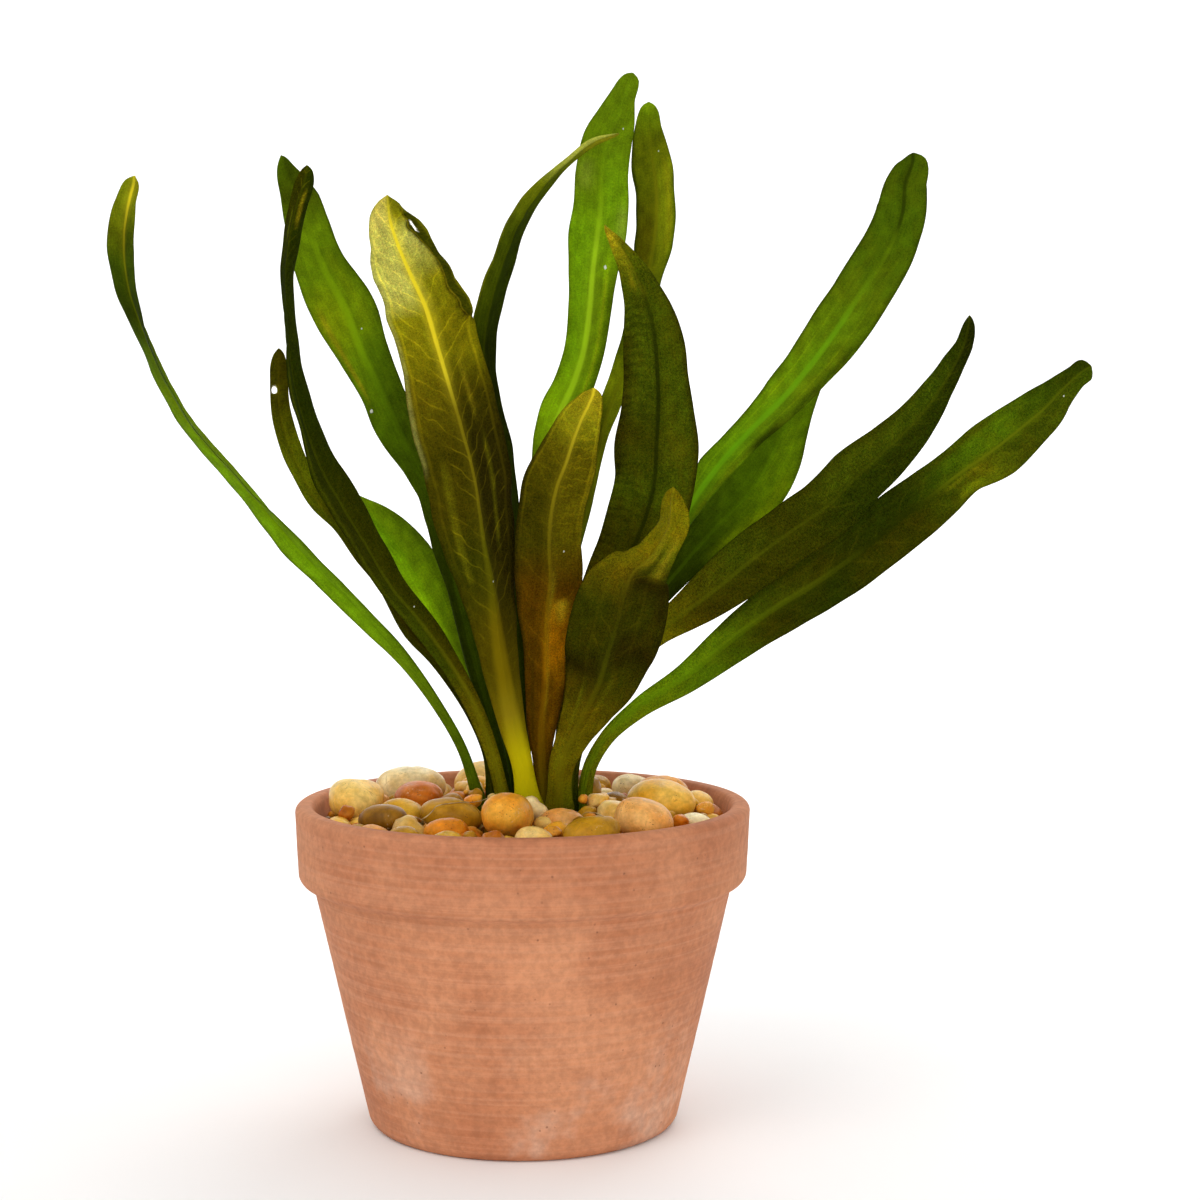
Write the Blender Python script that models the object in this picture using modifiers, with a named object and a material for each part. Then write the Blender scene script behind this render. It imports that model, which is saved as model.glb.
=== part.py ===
"""Potted echinodorus: a sword plant growing among river pebbles in a plain terracotta half-pot.

Units are metres with +Z up. The pot stands on z = 0 with its axis on the Z axis, and the plant
is seen from the front along +Y, with +X to the right.
"""
import math

import bmesh
import bpy
import numpy as np
from mathutils import Euler, Matrix, Vector, noise

MM = 0.001
GAP = 0.3 * MM                     # left between pieces that touch

# Pot, a turned half-pot with a rim band
POT_HEIGHT = 88 * MM
POT_BASE_RADIUS = 42 * MM
POT_SHOULDER_RADIUS = 57.2 * MM
POT_RIM_RADIUS = 62 * MM
RIM_BAND_HEIGHT = 21 * MM
RIM_BAND_FOOT_RADIUS = 60.8 * MM
POT_INNER_TOP_RADIUS = 57 * MM
POT_INNER_FLOOR_RADIUS = 38 * MM
POT_FLOOR = 6 * MM
POT_EDGE = 1.4 * MM                # size of the softened edges
DRAIN_RADIUS = 2.75 * MM
DRAIN_RING_RADIUS = 22 * MM
DRAINS = 3

# Gravel bed filling the pot, and the crown lying on it
BED_EDGE_HEIGHT = 80.5 * MM
BED_TOP_HEIGHT = 81.5 * MM
BED_FLAT_RADIUS = 26 * MM
CROWN_CENTRE = (2 * MM, -2 * MM)
CROWN_HALF_WIDTH = 19 * MM
CROWN_HALF_DEPTH = 12 * MM
CROWN_THICKNESS = 3 * MM

# Leaves: heights in the tables below are above this level, just over the crown
LEAF_DATUM = 92 * MM
EYE = Vector((21, -650, 192)) * MM     # where the plant is looked at from, for depth spreading
LEAF_RINGS = 22                        # cross sections along one leaf
BLADE_EDGE = 0.45 * MM                 # thickness at the margin
BLADE_RIB = 1.5 * MM                   # thickness at the midrib, lower blade
TIP_RIB = 0.7 * MM
PETIOLE_EDGE = 1.2 * MM
PETIOLE_RIB = 2.3 * MM
PETIOLE_BLEND = 0.12                   # share of the length over which petiole turns to blade
PINHOLE_CENTRE = (-66.7, 107.8)        # in leaf 05, in its table's coordinates
PINHOLE_HALF_SIZE = (0.65, 1.2)
PINHOLE_SHARE = 0.92               # of the leaf's reach, for its depth

# Pebbles resting on the bed
PEBBLES = 40
PEBBLE_SEED = 23
PEBBLE_HALF_LENGTH = (4.8 * MM, 12.5 * MM)
PEBBLE_SIZE_FALL = 2.0             # above 1, there are more small pebbles than large ones
PEBBLE_WIDTH_SHARE = (0.68, 0.92)  # of the length
PEBBLE_HEIGHT_SHARE = (0.7, 0.9)   # of the width
PEBBLE_HALF_HEIGHT_LIMIT = 7.2 * MM
PEBBLE_START_DISTANCE = (24 * MM, 50 * MM)   # from the pot's axis, before they are spread
PEBBLE_HOLLOWS = 0.14              # largest dent, as a share of the size
PEBBLE_SQUARENESS = 0.92           # 1 is an ellipsoid, lower is blockier
PEBBLE_TILT = 14                   # degrees
PEBBLE_WALL_GAP = 0.6 * MM
PEBBLE_SPACING = 0.5 * MM
PEBBLE_ROUNDS = 1500
PEBBLE_PUSH = 0.07                 # share of an overlap undone in one round
WALL_PUSH = 0.25
CROWN_PUSH = 0.15
GOLDEN_ANGLE = math.pi * (3 - math.sqrt(5))
CROWN_CLEARANCE = ((-7, -3, 10.5), (2, -3.5, 12.5), (11, -2.5, 10.5))   # x, y, radius in mm

# One entry a leaf. depth: how far the base, the tip and the bow between them lie behind the
# crown (negative is in front), in mm. petiole: share of the length that is stalk. fold: angle of
# the two halves about the midrib, positive when the upper face is turned to the front. rows: from
# base to tip, the middle of the leaf as x and height seen from the front and its true width, in
# mm, then the twist in degrees about its own length (0 is face on, 90 is edge on).
LEAVES = (
    # 01, slim outer leaf, far left
    dict(depth=(-3, -38, -4), petiole=0.2, fold=14, rows=(
        (-11.5, -5.6, 3.2, 0), (-17.2, 11.5, 2.6, 0), (-23.2, 22, 2.6, 10), (-33, 35.5, 3.3, 20),
        (-43.4, 46.2, 5.6, 42), (-58.5, 61.2, 8.4, 48), (-67.5, 71.2, 9.6, 60), (-76, 81.2, 9.8, 75),
        (-92.3, 100.9, 10, 76), (-102.1, 121.2, 10.2, 75), (-106.9, 136.2, 10.4, 56),
        (-107.7, 148.8, 10.2, 45), (-105.9, 159.5, 7, 40), (-104, 165.2, 1.4, 30))),
    # 02, wide bright leaf, back left
    dict(depth=(-1, 30, 6), petiole=0.4, fold=10, rows=(
        (-4.4, -5.6, 3.2, 0), (-6.5, 8, 3.4, 0), (-13.5, 33.8, 4.2, 0), (-19.5, 58.8, 4.6, 0),
        (-23.1, 73, 4.8, 0), (-27.7, 86.2, 8.4, -15), (-33.3, 97.5, 12.6, -12), (-38.5, 107.5, 13.1, -8),
        (-43.5, 118, 14.5, 0), (-48.4, 130.5, 17.6, 6), (-53.8, 141.5, 15.2, 10),
        (-57.3, 152, 12.6, 10), (-60.6, 161.5, 8.5, 5), (-63.4, 167.8, 5, 0),
        (-64.3, 170.6, 1.4, 0))),
    # 03, broad golden leaf in front, its underside and midrib to the front
    dict(depth=(-9.5, -55, -4), petiole=0.13, fold=-14, rows=(
        (1.3, -5.6, 6, 0), (-0.4, 6.2, 6, 0), (-2.9, 16.2, 7.6, -5), (-5.4, 28.8, 9.9, -10),
        (-7.5, 41.2, 12.3, -15), (-9.5, 53.8, 16.2, -22), (-12.8, 68.8, 22.4, -27),
        (-15.1, 83.8, 24, -26), (-18.2, 97.5, 24, -20), (-20.6, 108.8, 21.6, -10),
        (-23, 118.8, 19.8, 0), (-26.3, 130.8, 20.4, 10), (-30, 140, 19.5, 14),
        (-32.8, 147.5, 16.4, 15), (-35.3, 154.2, 11.4, 12), (-35.8, 157.8, 6.6, 5),
        (-36, 160.2, 1.4, 0))),
    # 04, dark leaf left of the middle, turned almost edge on
    dict(depth=(-6.5, -34, 0), petiole=0.12, fold=10, rows=(
        (-4.9, -5.6, 3.4, 0), (-9, 10.5, 4, -10), (-14, 23, 5, -20), (-20, 34, 6.2, -30),
        (-27.5, 45, 8.2, -38), (-34.6, 53.8, 10.5, -50), (-41.9, 66.2, 13, -53),
        (-48.8, 78, 14, -53), (-53.8, 87, 13.5, -56), (-57.2, 96.5, 13, -66),
        (-60.9, 111, 13, -69), (-62.4, 126.5, 12.5, -77), (-63, 138, 12, -73),
        (-62.2, 147, 11, -68), (-60.3, 157, 9, -62), (-58.3, 163.8, 6.5, -52),
        (-57.5, 167.8, 1.6, -40))),
    # 05, small brown leaf behind leaf 04, with a pinhole
    dict(depth=(-2.5, -16, 0), petiole=0.25, fold=12, rows=(
        (-8.6, -5.6, 2.6, 0), (-9.8, 8.8, 2.6, 0), (-13.8, 19, 2.8, -10), (-18.5, 27, 3, -15),
        (-24, 34.5, 3.2, -20), (-30.4, 41.5, 3.6, -25), (-38.5, 56, 4, -32), (-44, 63.2, 4.4, -32),
        (-49.5, 71.5, 5, -32), (-55, 77.2, 5.8, -32), (-59.8, 86, 6.8, -38), (-62.3, 92, 7.2, -38),
        (-65, 101.5, 6.6, -40), (-65.6, 110, 5.6, -38), (-65.7, 116.2, 4, -34),
        (-65.5, 119, 1.2, -30))),
    # 06, short bright leaf at the back left
    dict(depth=(4, 40, 4), petiole=0.25, fold=8, rows=(
        (-3.6, -5.6, 3, 0), (-5, 8, 3.2, 0), (-9.4, 20, 3.8, 0), (-15, 31.5, 5.6, 0),
        (-20.8, 42.5, 10, 0), (-25.8, 52.5, 14.4, 0), (-30.8, 60.8, 16, 5), (-35.5, 67.5, 14.4, 8),
        (-40, 73.2, 10.6, 8), (-43.8, 77.5, 5.2, 5), (-46.2, 80, 1.2, 0))),
    # 07, dark leaf seen edge on, arching over to the right
    dict(depth=(-2, -2, -6), petiole=0.3, fold=10, rows=(
        (0.2, -5.6, 3, 0), (-0.4, 18, 3.2, 15), (-2, 45, 5, 30), (-3.8, 66, 6.8, 42),
        (-6.4, 89, 7.6, 52), (-9.2, 106, 8.6, 56), (-10.7, 120, 10, 56), (-8.5, 131.9, 10.3, 55),
        (-4.8, 143.2, 8.9, 59), (-0.4, 153.2, 7.6, 61), (5.9, 162.2, 6.3, 62),
        (12.5, 168.7, 4.6, 62), (19, 174.1, 4.6, 61), (26, 176.4, 1.2, 60))),
    # 08, tallest leaf, back middle
    dict(depth=(4, 45, 4), petiole=0.4, fold=8, rows=(
        (0.6, -5.6, 3.2, 0), (0.6, 30, 3.4, 0), (1, 58, 4, 0), (2.8, 76, 5, 0),
        (5.8, 87, 7.6, -5), (7.7, 95.5, 11.5, -8), (9.9, 101.5, 12.8, -8), (13.4, 108.4, 11.4, -4),
        (16.4, 116.5, 10.8, 0), (18.6, 130, 12, 5), (19.3, 141, 14.6, 8), (19.8, 148, 16.7, 6),
        (21.2, 157, 15.2, 0), (21.7, 167, 14, -5), (22.7, 174.5, 13.6, -8),
        (24.7, 180.2, 11.5, -6), (26.7, 186.4, 7.9, 0), (28.3, 190, 5.4, 0),
        (29.9, 192.4, 2, 0))),
    # 09, short brown leaf in the front middle
    dict(depth=(-6.5, -38, -4), petiole=0.14, fold=-12, rows=(
        (5.8, -5.6, 3.6, 0), (5.1, 7, 5, 0), (5.1, 16.5, 8.2, 0), (5.7, 26.5, 10.4, -4),
        (5.6, 39, 11.8, -8), (6.3, 49, 15.6, -10), (7.4, 57, 18.8, -10), (7.3, 66.5, 18.6, -8),
        (8.4, 75.5, 18.6, -6), (9.6, 82, 18.9, -6), (11.6, 88, 16.7, -8), (13.5, 94, 13.6, -8),
        (15.8, 100, 10.4, -6), (18, 104, 7.2, 0), (19.2, 107, 4, 0), (19.4, 108.2, 1.6, 0))),
    # 10, tall leaf behind leaf 11
    dict(depth=(4.5, 58, 6), petiole=0.4, fold=10, rows=(
        (4.9, -5.6, 3, 0), (6, 20, 3.2, 0), (9.5, 45, 3.6, 0), (14.6, 65, 4, 5),
        (18.4, 79, 4.2, 10), (20.2, 90, 4.1, 15), (22.5, 100.5, 5.7, 20), (26.2, 110, 7.8, 22),
        (30.2, 119.5, 8.8, 24), (32.8, 130.5, 8.9, 26), (34.8, 142, 9.8, 26),
        (36.2, 152.5, 11, 26), (35.9, 162.5, 11.2, 26), (34.5, 171.2, 12, 24),
        (33.9, 177.5, 9.1, 20), (34, 181.5, 5.2, 12), (34, 184.8, 1.4, 5))),
    # 11, large dark leaf right of the middle
    dict(depth=(-4, -14, -6), petiole=0.2, fold=8, rows=(
        (9.4, -5.6, 3.6, 0), (10.2, 8, 3.8, 0), (12, 21.5, 4.6, 0), (15.8, 36.5, 8, 0),
        (20.8, 48.8, 13.4, 0), (25.4, 56.5, 16.6, 0), (30, 64.5, 18.7, 0), (33.5, 73, 20.6, 0),
        (35.8, 82.5, 21.2, 0), (36.4, 93, 23.2, 0), (36.7, 103, 19.6, 0), (36.2, 112, 17.3, 5),
        (35.7, 120.5, 16.5, 8), (34.4, 129, 12.9, 10), (31.9, 136.2, 9.4, 15),
        (29.4, 141.6, 7.4, 20), (26.2, 146.6, 4.8, 25), (23.6, 150, 2.4, 25),
        (22.2, 152, 0.9, 25))),
    # 12, wide brown leaf in front of leaf 11, its end folded in
    dict(depth=(-9.5, -48, -4), petiole=0.1, fold=-8, rows=(
        (9.8, -5.6, 5.6, 0), (10.6, 6, 7, 0), (13.9, 14, 9.6, 0), (17.6, 21.5, 14, 0),
        (21, 29, 19.6, 0), (22.9, 36.5, 22.6, 0), (25.3, 44, 23.8, 0), (27, 51.5, 22.8, 5),
        (28.9, 57, 20.5, 15), (32.2, 60.6, 17.6, 35), (36, 63.6, 16, 50), (38.8, 67, 14, 53),
        (40.4, 71.5, 12, 54), (40.9, 76.2, 9.4, 48), (41, 79.6, 5.4, 42), (40.8, 81.6, 1.2, 30))),
    # 13, long bright leaf, upper right
    dict(depth=(1, 28, 4), petiole=0.4, fold=8, rows=(
        (7.8, -5.6, 3.2, 0), (9.6, 8, 3.4, 0), (15, 24, 3.6, 0), (23.8, 41.2, 4, 0),
        (33.8, 57.5, 4.6, 0), (42, 71.2, 5.6, 0), (47.6, 80, 7, 0), (54, 88.6, 8.6, 5),
        (61.4, 96.8, 10, 10), (70.4, 106, 12.4, 10), (76.7, 113.6, 14.4, 10), (84.2, 124, 15.9, 8),
        (92.4, 136.4, 16, 5), (98.8, 146.4, 14.8, 0), (102.2, 155.5, 13.4, -5),
        (102.9, 163.5, 12.1, -5), (104.7, 168.8, 7.6, 0), (104.9, 171.3, 2.6, 0))),
    # 14, green leaf behind leaf 13
    dict(depth=(5, 42, 4), petiole=0.3, fold=8, rows=(
        (9.4, -5.6, 3.2, 0), (12, 8, 3.4, 0), (18.8, 25, 4, 0), (28.4, 42, 5, 0),
        (38.2, 54.2, 7.2, 0), (46, 63.6, 10.2, 0), (53.4, 72, 13.2, 0), (61.2, 80.5, 16.4, 0),
        (67.6, 89.8, 16.8, 0), (71.4, 97.6, 13.4, 0), (75.4, 104.5, 8.6, 0), (79.2, 110.5, 4.6, 0),
        (82.6, 114.6, 1.2, 0))),
    # 15, dark olive leaf, right
    dict(depth=(-2, -6, -2), petiole=0.25, fold=8, rows=(
        (12.6, -5.6, 3.6, 0), (14, 8, 3.8, 0), (19, 21.5, 4.4, 0), (27.8, 33.6, 5.2, 0),
        (37.2, 42.6, 7.2, 0), (44.3, 48, 9.8, 0), (51.5, 53.4, 13, -5), (62.5, 62, 16, -8),
        (73.8, 70.2, 16.4, -10), (83.6, 77.2, 17, -10), (91, 84.8, 16.2, -8),
        (98, 91.4, 14.8, -5), (106, 99.2, 11.3, 0), (111.7, 106.6, 9.2, 5),
        (116, 113.9, 6.6, 8), (119, 120.2, 5, 10), (120.2, 125.2, 3.6, 10),
        (120.5, 127.9, 1.6, 10))),
    # 16, outermost leaf, far right
    dict(depth=(0, 12, 2), petiole=0.25, fold=8, rows=(
        (15.8, -5.6, 3.4, 0), (18, 6, 3.8, 0), (22.6, 13.8, 4.2, 0), (31.4, 21.9, 4.9, 0),
        (43.8, 30.2, 7, 0), (56, 40, 10.6, -5), (66, 47.4, 12.8, -8), (79.5, 56, 14.6, -10),
        (91, 64, 15.6, -10), (103.6, 74.2, 16.2, -8), (110.5, 79.5, 15.6, -5),
        (117.8, 85.4, 14, 0), (126, 91.2, 16.2, 4), (135.4, 98.6, 14, 6), (141.3, 103.4, 12, 6),
        (146.3, 108.4, 7.4, 4), (149.6, 111.6, 5.6, 0), (151.9, 113.4, 5.2, 0),
        (153.5, 114.3, 2.2, 0))),
)

# Looks: colour, roughness, metallic
TERRACOTTA = ((0.55, 0.24, 0.13), 0.85, 0.0)
GRAVEL = ((0.16, 0.12, 0.08), 0.8, 0.0)
ROOTSTOCK = ((0.23, 0.17, 0.06), 0.7, 0.0)
LEAF_COLOURS = (
    (0.16, 0.24, 0.02), (0.19, 0.30, 0.02), (0.30, 0.22, 0.02), (0.06, 0.08, 0.01),
    (0.12, 0.10, 0.01), (0.13, 0.27, 0.01), (0.05, 0.09, 0.01), (0.17, 0.32, 0.01),
    (0.20, 0.12, 0.01), (0.17, 0.19, 0.02), (0.06, 0.08, 0.01), (0.10, 0.09, 0.01),
    (0.14, 0.27, 0.01), (0.11, 0.19, 0.01), (0.07, 0.08, 0.01), (0.11, 0.14, 0.01),
)
PEBBLE_COLOURS = (
    (0.72, 0.60, 0.40), (0.62, 0.36, 0.14), (0.45, 0.38, 0.16), (0.78, 0.70, 0.52),
    (0.55, 0.22, 0.10), (0.30, 0.25, 0.14), (0.66, 0.48, 0.22), (0.60, 0.40, 0.30),
)


def material(name, look):
    colour, roughness, metallic = look
    made = bpy.data.materials.new(name)
    made.use_nodes = True
    shader = made.node_tree.nodes["Principled BSDF"]
    shader.inputs["Base Color"].default_value = (*colour, 1.0)
    shader.inputs["Roughness"].default_value = roughness
    shader.inputs["Metallic"].default_value = metallic
    return made


def add_object(name, mesh, look, collection, sharp=40):
    mesh.materials.append(material(name, look))
    mesh.shade_smooth()
    mesh.set_sharp_from_angle(angle=math.radians(sharp))
    made = bpy.data.objects.new(name, mesh)
    collection.objects.link(made)
    return made


def mesh_from(bm, name):
    bmesh.ops.recalc_face_normals(bm, faces=bm.faces)
    mesh = bpy.data.meshes.new(name)
    bm.to_mesh(mesh)
    bm.free()
    return mesh


def turned(name, profile, steps, look, collection):
    """A closed solid of revolution: profile runs from the axis down the outer side."""
    mesh = bpy.data.meshes.new(name)
    points = [(radius, 0.0, height) for radius, height in profile]
    mesh.from_pydata(points, [(i, i + 1) for i in range(len(points) - 1)], [])
    made = bpy.data.objects.new(name, mesh)
    collection.objects.link(made)
    screw = made.modifiers.new("turn", "SCREW")
    screw.axis = "Z"
    screw.angle = math.tau
    screw.steps = steps
    screw.render_steps = steps
    screw.use_merge_vertices = True
    screw.merge_threshold = 0.01 * MM
    evaluated = made.evaluated_get(bpy.context.evaluated_depsgraph_get())
    solid = bpy.data.meshes.new_from_object(evaluated)
    bpy.data.objects.remove(made)
    bpy.data.meshes.remove(mesh)
    solid.name = name
    return add_object(name, solid, look, collection)


def inner_wall_radius(height):
    share = (height - POT_FLOOR) / (POT_HEIGHT - POT_FLOOR)
    return POT_INNER_FLOOR_RADIUS + share * (POT_INNER_TOP_RADIUS - POT_INNER_FLOOR_RADIUS)


def build_pot(collection, cutters):
    band_foot = POT_HEIGHT - RIM_BAND_HEIGHT
    edge = POT_EDGE
    profile = [
        (0.0, POT_FLOOR),
        (POT_INNER_FLOOR_RADIUS - 3 * edge, POT_FLOOR),
        (inner_wall_radius(POT_FLOOR + 2 * edge), POT_FLOOR + 2 * edge),
        (inner_wall_radius(POT_HEIGHT - edge), POT_HEIGHT - edge),
        (POT_INNER_TOP_RADIUS + edge, POT_HEIGHT),
        (POT_RIM_RADIUS - edge, POT_HEIGHT),
        (POT_RIM_RADIUS, POT_HEIGHT - edge),
        (RIM_BAND_FOOT_RADIUS + 0.2 * edge, band_foot + edge),
        (RIM_BAND_FOOT_RADIUS - edge, band_foot),
        (POT_SHOULDER_RADIUS, band_foot - 0.4 * edge),
        (POT_BASE_RADIUS + 0.3 * edge, edge),
        (POT_BASE_RADIUS - edge, 0.0),
        (0.0, 0.0),
    ]
    pot = turned("pot", profile, 48, TERRACOTTA, collection)
    for index in range(DRAINS):
        angle = math.tau * (index + 0.25) / DRAINS
        bm = bmesh.new()
        bmesh.ops.create_cone(bm, cap_ends=True, segments=16, radius1=DRAIN_RADIUS,
                              radius2=DRAIN_RADIUS, depth=3 * POT_FLOOR)
        drill = bpy.data.objects.new(f"drain_{index}", mesh_from(bm, f"drain_{index}"))
        drill.location = (DRAIN_RING_RADIUS * math.cos(angle), DRAIN_RING_RADIUS * math.sin(angle),
                          POT_FLOOR / 2)
        drill.hide_render = True
        drill.display_type = "WIRE"
        cutters.objects.link(drill)
        cut = pot.modifiers.new(f"drain_{index}", "BOOLEAN")
        cut.operation = "DIFFERENCE"
        cut.object = drill
    return pot


def bed_height(x, y):
    """Top of the gravel bed: flat round the crown and falling a little to the wall."""
    edge_radius = inner_wall_radius(BED_EDGE_HEIGHT)
    share = (math.hypot(x, y) - BED_FLAT_RADIUS) / (edge_radius - BED_FLAT_RADIUS)
    return BED_TOP_HEIGHT - max(0.0, share) * (BED_TOP_HEIGHT - BED_EDGE_HEIGHT)


def build_bed(collection):
    foot = POT_FLOOR + GAP
    profile = [
        (0.0, BED_TOP_HEIGHT),
        (BED_FLAT_RADIUS, BED_TOP_HEIGHT),
        (inner_wall_radius(BED_EDGE_HEIGHT) - 2 * GAP, BED_EDGE_HEIGHT),
        (inner_wall_radius(POT_FLOOR + 3 * POT_EDGE) - 2 * GAP, POT_FLOOR + 3 * POT_EDGE),
        (POT_INNER_FLOOR_RADIUS - 4 * POT_EDGE, foot),
        (0.0, foot),
    ]
    return turned("gravel_bed", profile, 32, GRAVEL, collection)


def build_crown(collection):
    """A low oval cushion: turned round, then squeezed from front to back."""
    radius = CROWN_HALF_WIDTH
    foot = BED_TOP_HEIGHT + GAP
    top = foot + CROWN_THICKNESS
    profile = [
        (0.0, top),
        (radius * 0.62, top),
        (radius * 0.9, top - 0.25 * CROWN_THICKNESS),
        (radius, top - 0.6 * CROWN_THICKNESS),
        (radius * 0.86, foot),
        (0.0, foot),
    ]
    crown = turned("crown", profile, 20, ROOTSTOCK, collection)
    crown.data.transform(Matrix.Diagonal((1.0, CROWN_HALF_DEPTH / CROWN_HALF_WIDTH, 1.0, 1.0)))
    crown.location = (*CROWN_CENTRE, 0.0)
    return crown


def through(knots, values, at):
    """Smooth curve through the values given at the knots, read at the places in at."""
    slopes = np.gradient(values, knots, axis=0)
    i = np.clip(np.searchsorted(knots, at, side="right") - 1, 0, len(knots) - 2)
    step = (knots[i + 1] - knots[i])[:, None]
    u = (at - knots[i])[:, None] / step
    start = (1 + 2 * u) * (1 - u) ** 2 * values[i] + u * (1 - u) ** 2 * step * slopes[i]
    end = u ** 2 * (3 - 2 * u) * values[i + 1] - u ** 2 * (1 - u) * step * slopes[i + 1]
    return start + end


def place(seen_x, seen_height, depth):
    """World point for a place seen at x and height across the plant, depth behind the crown."""
    spread = (depth - EYE.y) / -EYE.y
    x = EYE.x + spread * (seen_x - EYE.x)
    z = EYE.z + spread * (LEAF_DATUM + seen_height - EYE.z)
    return Vector((x, depth, z))


def leaf_sections(leaf, shares):
    """Middle, directions across and through, half angles and width at shares of the length."""
    rows = np.array(leaf["rows"], dtype=float)
    knots = np.concatenate(([0.0], np.cumsum(np.hypot(*np.diff(rows[:, :2], axis=0).T))))
    knots /= knots[-1]
    table = through(knots, rows, shares)
    base, tip, bow = leaf["depth"]
    fold = math.radians(leaf["fold"])
    points = []
    for share, (x, height, _, _) in zip(shares, table):
        depth = base + (tip - base) * share + bow * 4 * share * (1 - share)
        points.append(place(x * MM, height * MM, depth * MM))
    sections = []
    for index, (share, (_, _, width, twist)) in enumerate(zip(shares, table)):
        before = points[max(index - 1, 0)]
        after = points[min(index + 1, len(points) - 1)]
        along = (after - before).normalized()
        to_eye = (EYE - points[index]).normalized()
        across = along.cross(to_eye).normalized()
        toward = across.cross(along)
        angle = math.radians(twist)
        half = max(width, 0.8) * MM / 2
        middle = points[index] + across * (half * math.sin(angle) * math.sin(fold))
        right = across * math.cos(angle + fold) + toward * math.sin(angle + fold)
        left = -across * math.cos(angle - fold) - toward * math.sin(angle - fold)
        face = toward * math.cos(angle) - across * math.sin(angle)
        sections.append((share, middle, right * half, left * half, face))
    return sections


def smooth_step(value):
    value = min(max(value, 0.0), 1.0)
    return value * value * (3 - 2 * value)


def build_leaf(number, leaf, colour, collection):
    """A loft from the stalk's oval section to the blade's thin folded one."""
    spacing = np.linspace(0.0, 1.0, LEAF_RINGS)
    shares = 1 - (1 - spacing) ** 1.25
    bm = bmesh.new()
    rings = []
    for share, middle, right, left, face in leaf_sections(leaf, shares):
        blade = smooth_step((share - leaf["petiole"]) / PETIOLE_BLEND)
        rib = PETIOLE_RIB + blade * (BLADE_RIB + share * (TIP_RIB - BLADE_RIB) - PETIOLE_RIB)
        edge = PETIOLE_EDGE + blade * (BLADE_EDGE - PETIOLE_EDGE)
        outward = 1 if leaf["fold"] < 0 else -1      # the midrib stands out of the underside
        front = rib * (0.5 + 0.2 * outward * blade)
        back = rib - front
        ring = (
            middle + right + face * edge / 2,
            middle + face * front,
            middle + left + face * edge / 2,
            middle + left - face * edge / 2,
            middle - face * back,
            middle + right - face * edge / 2,
        )
        rings.append([bm.verts.new(point) for point in ring])
    for lower, upper in zip(rings, rings[1:]):
        for index in range(len(lower)):
            following = (index + 1) % len(lower)
            bm.faces.new((lower[index], lower[following], upper[following], upper[index]))
    bm.faces.new(rings[0][::-1])
    bm.faces.new(rings[-1])
    bmesh.ops.triangulate(bm, faces=bm.faces)
    name = f"leaf_{number:02d}"
    return add_object(name, mesh_from(bm, name), (colour, 0.35, 0.0), collection, sharp=60)


def pierce(leaf_object, leaf, cutters):
    """The pinhole: an oval punch through the blade, square to the line of sight."""
    x, height = PINHOLE_CENTRE
    base, tip, _ = leaf["depth"]
    centre = place(x * MM, height * MM, (base + PINHOLE_SHARE * (tip - base)) * MM)
    bm = bmesh.new()
    bmesh.ops.create_cone(bm, cap_ends=True, segments=10, radius1=1.0, radius2=1.0,
                          depth=14 * MM)
    half_width, half_height = PINHOLE_HALF_SIZE
    bmesh.ops.scale(bm, vec=(half_width * MM, half_height * MM, 1.0), verts=bm.verts)
    punch = bpy.data.objects.new("pinhole", mesh_from(bm, "pinhole"))
    punch.location = centre
    punch.rotation_euler = Euler((math.radians(90), 0.0, 0.0))
    punch.hide_render = True
    punch.display_type = "WIRE"
    cutters.objects.link(punch)
    cut = leaf_object.modifiers.new("pinhole", "BOOLEAN")
    cut.operation = "DIFFERENCE"
    cut.object = punch


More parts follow.
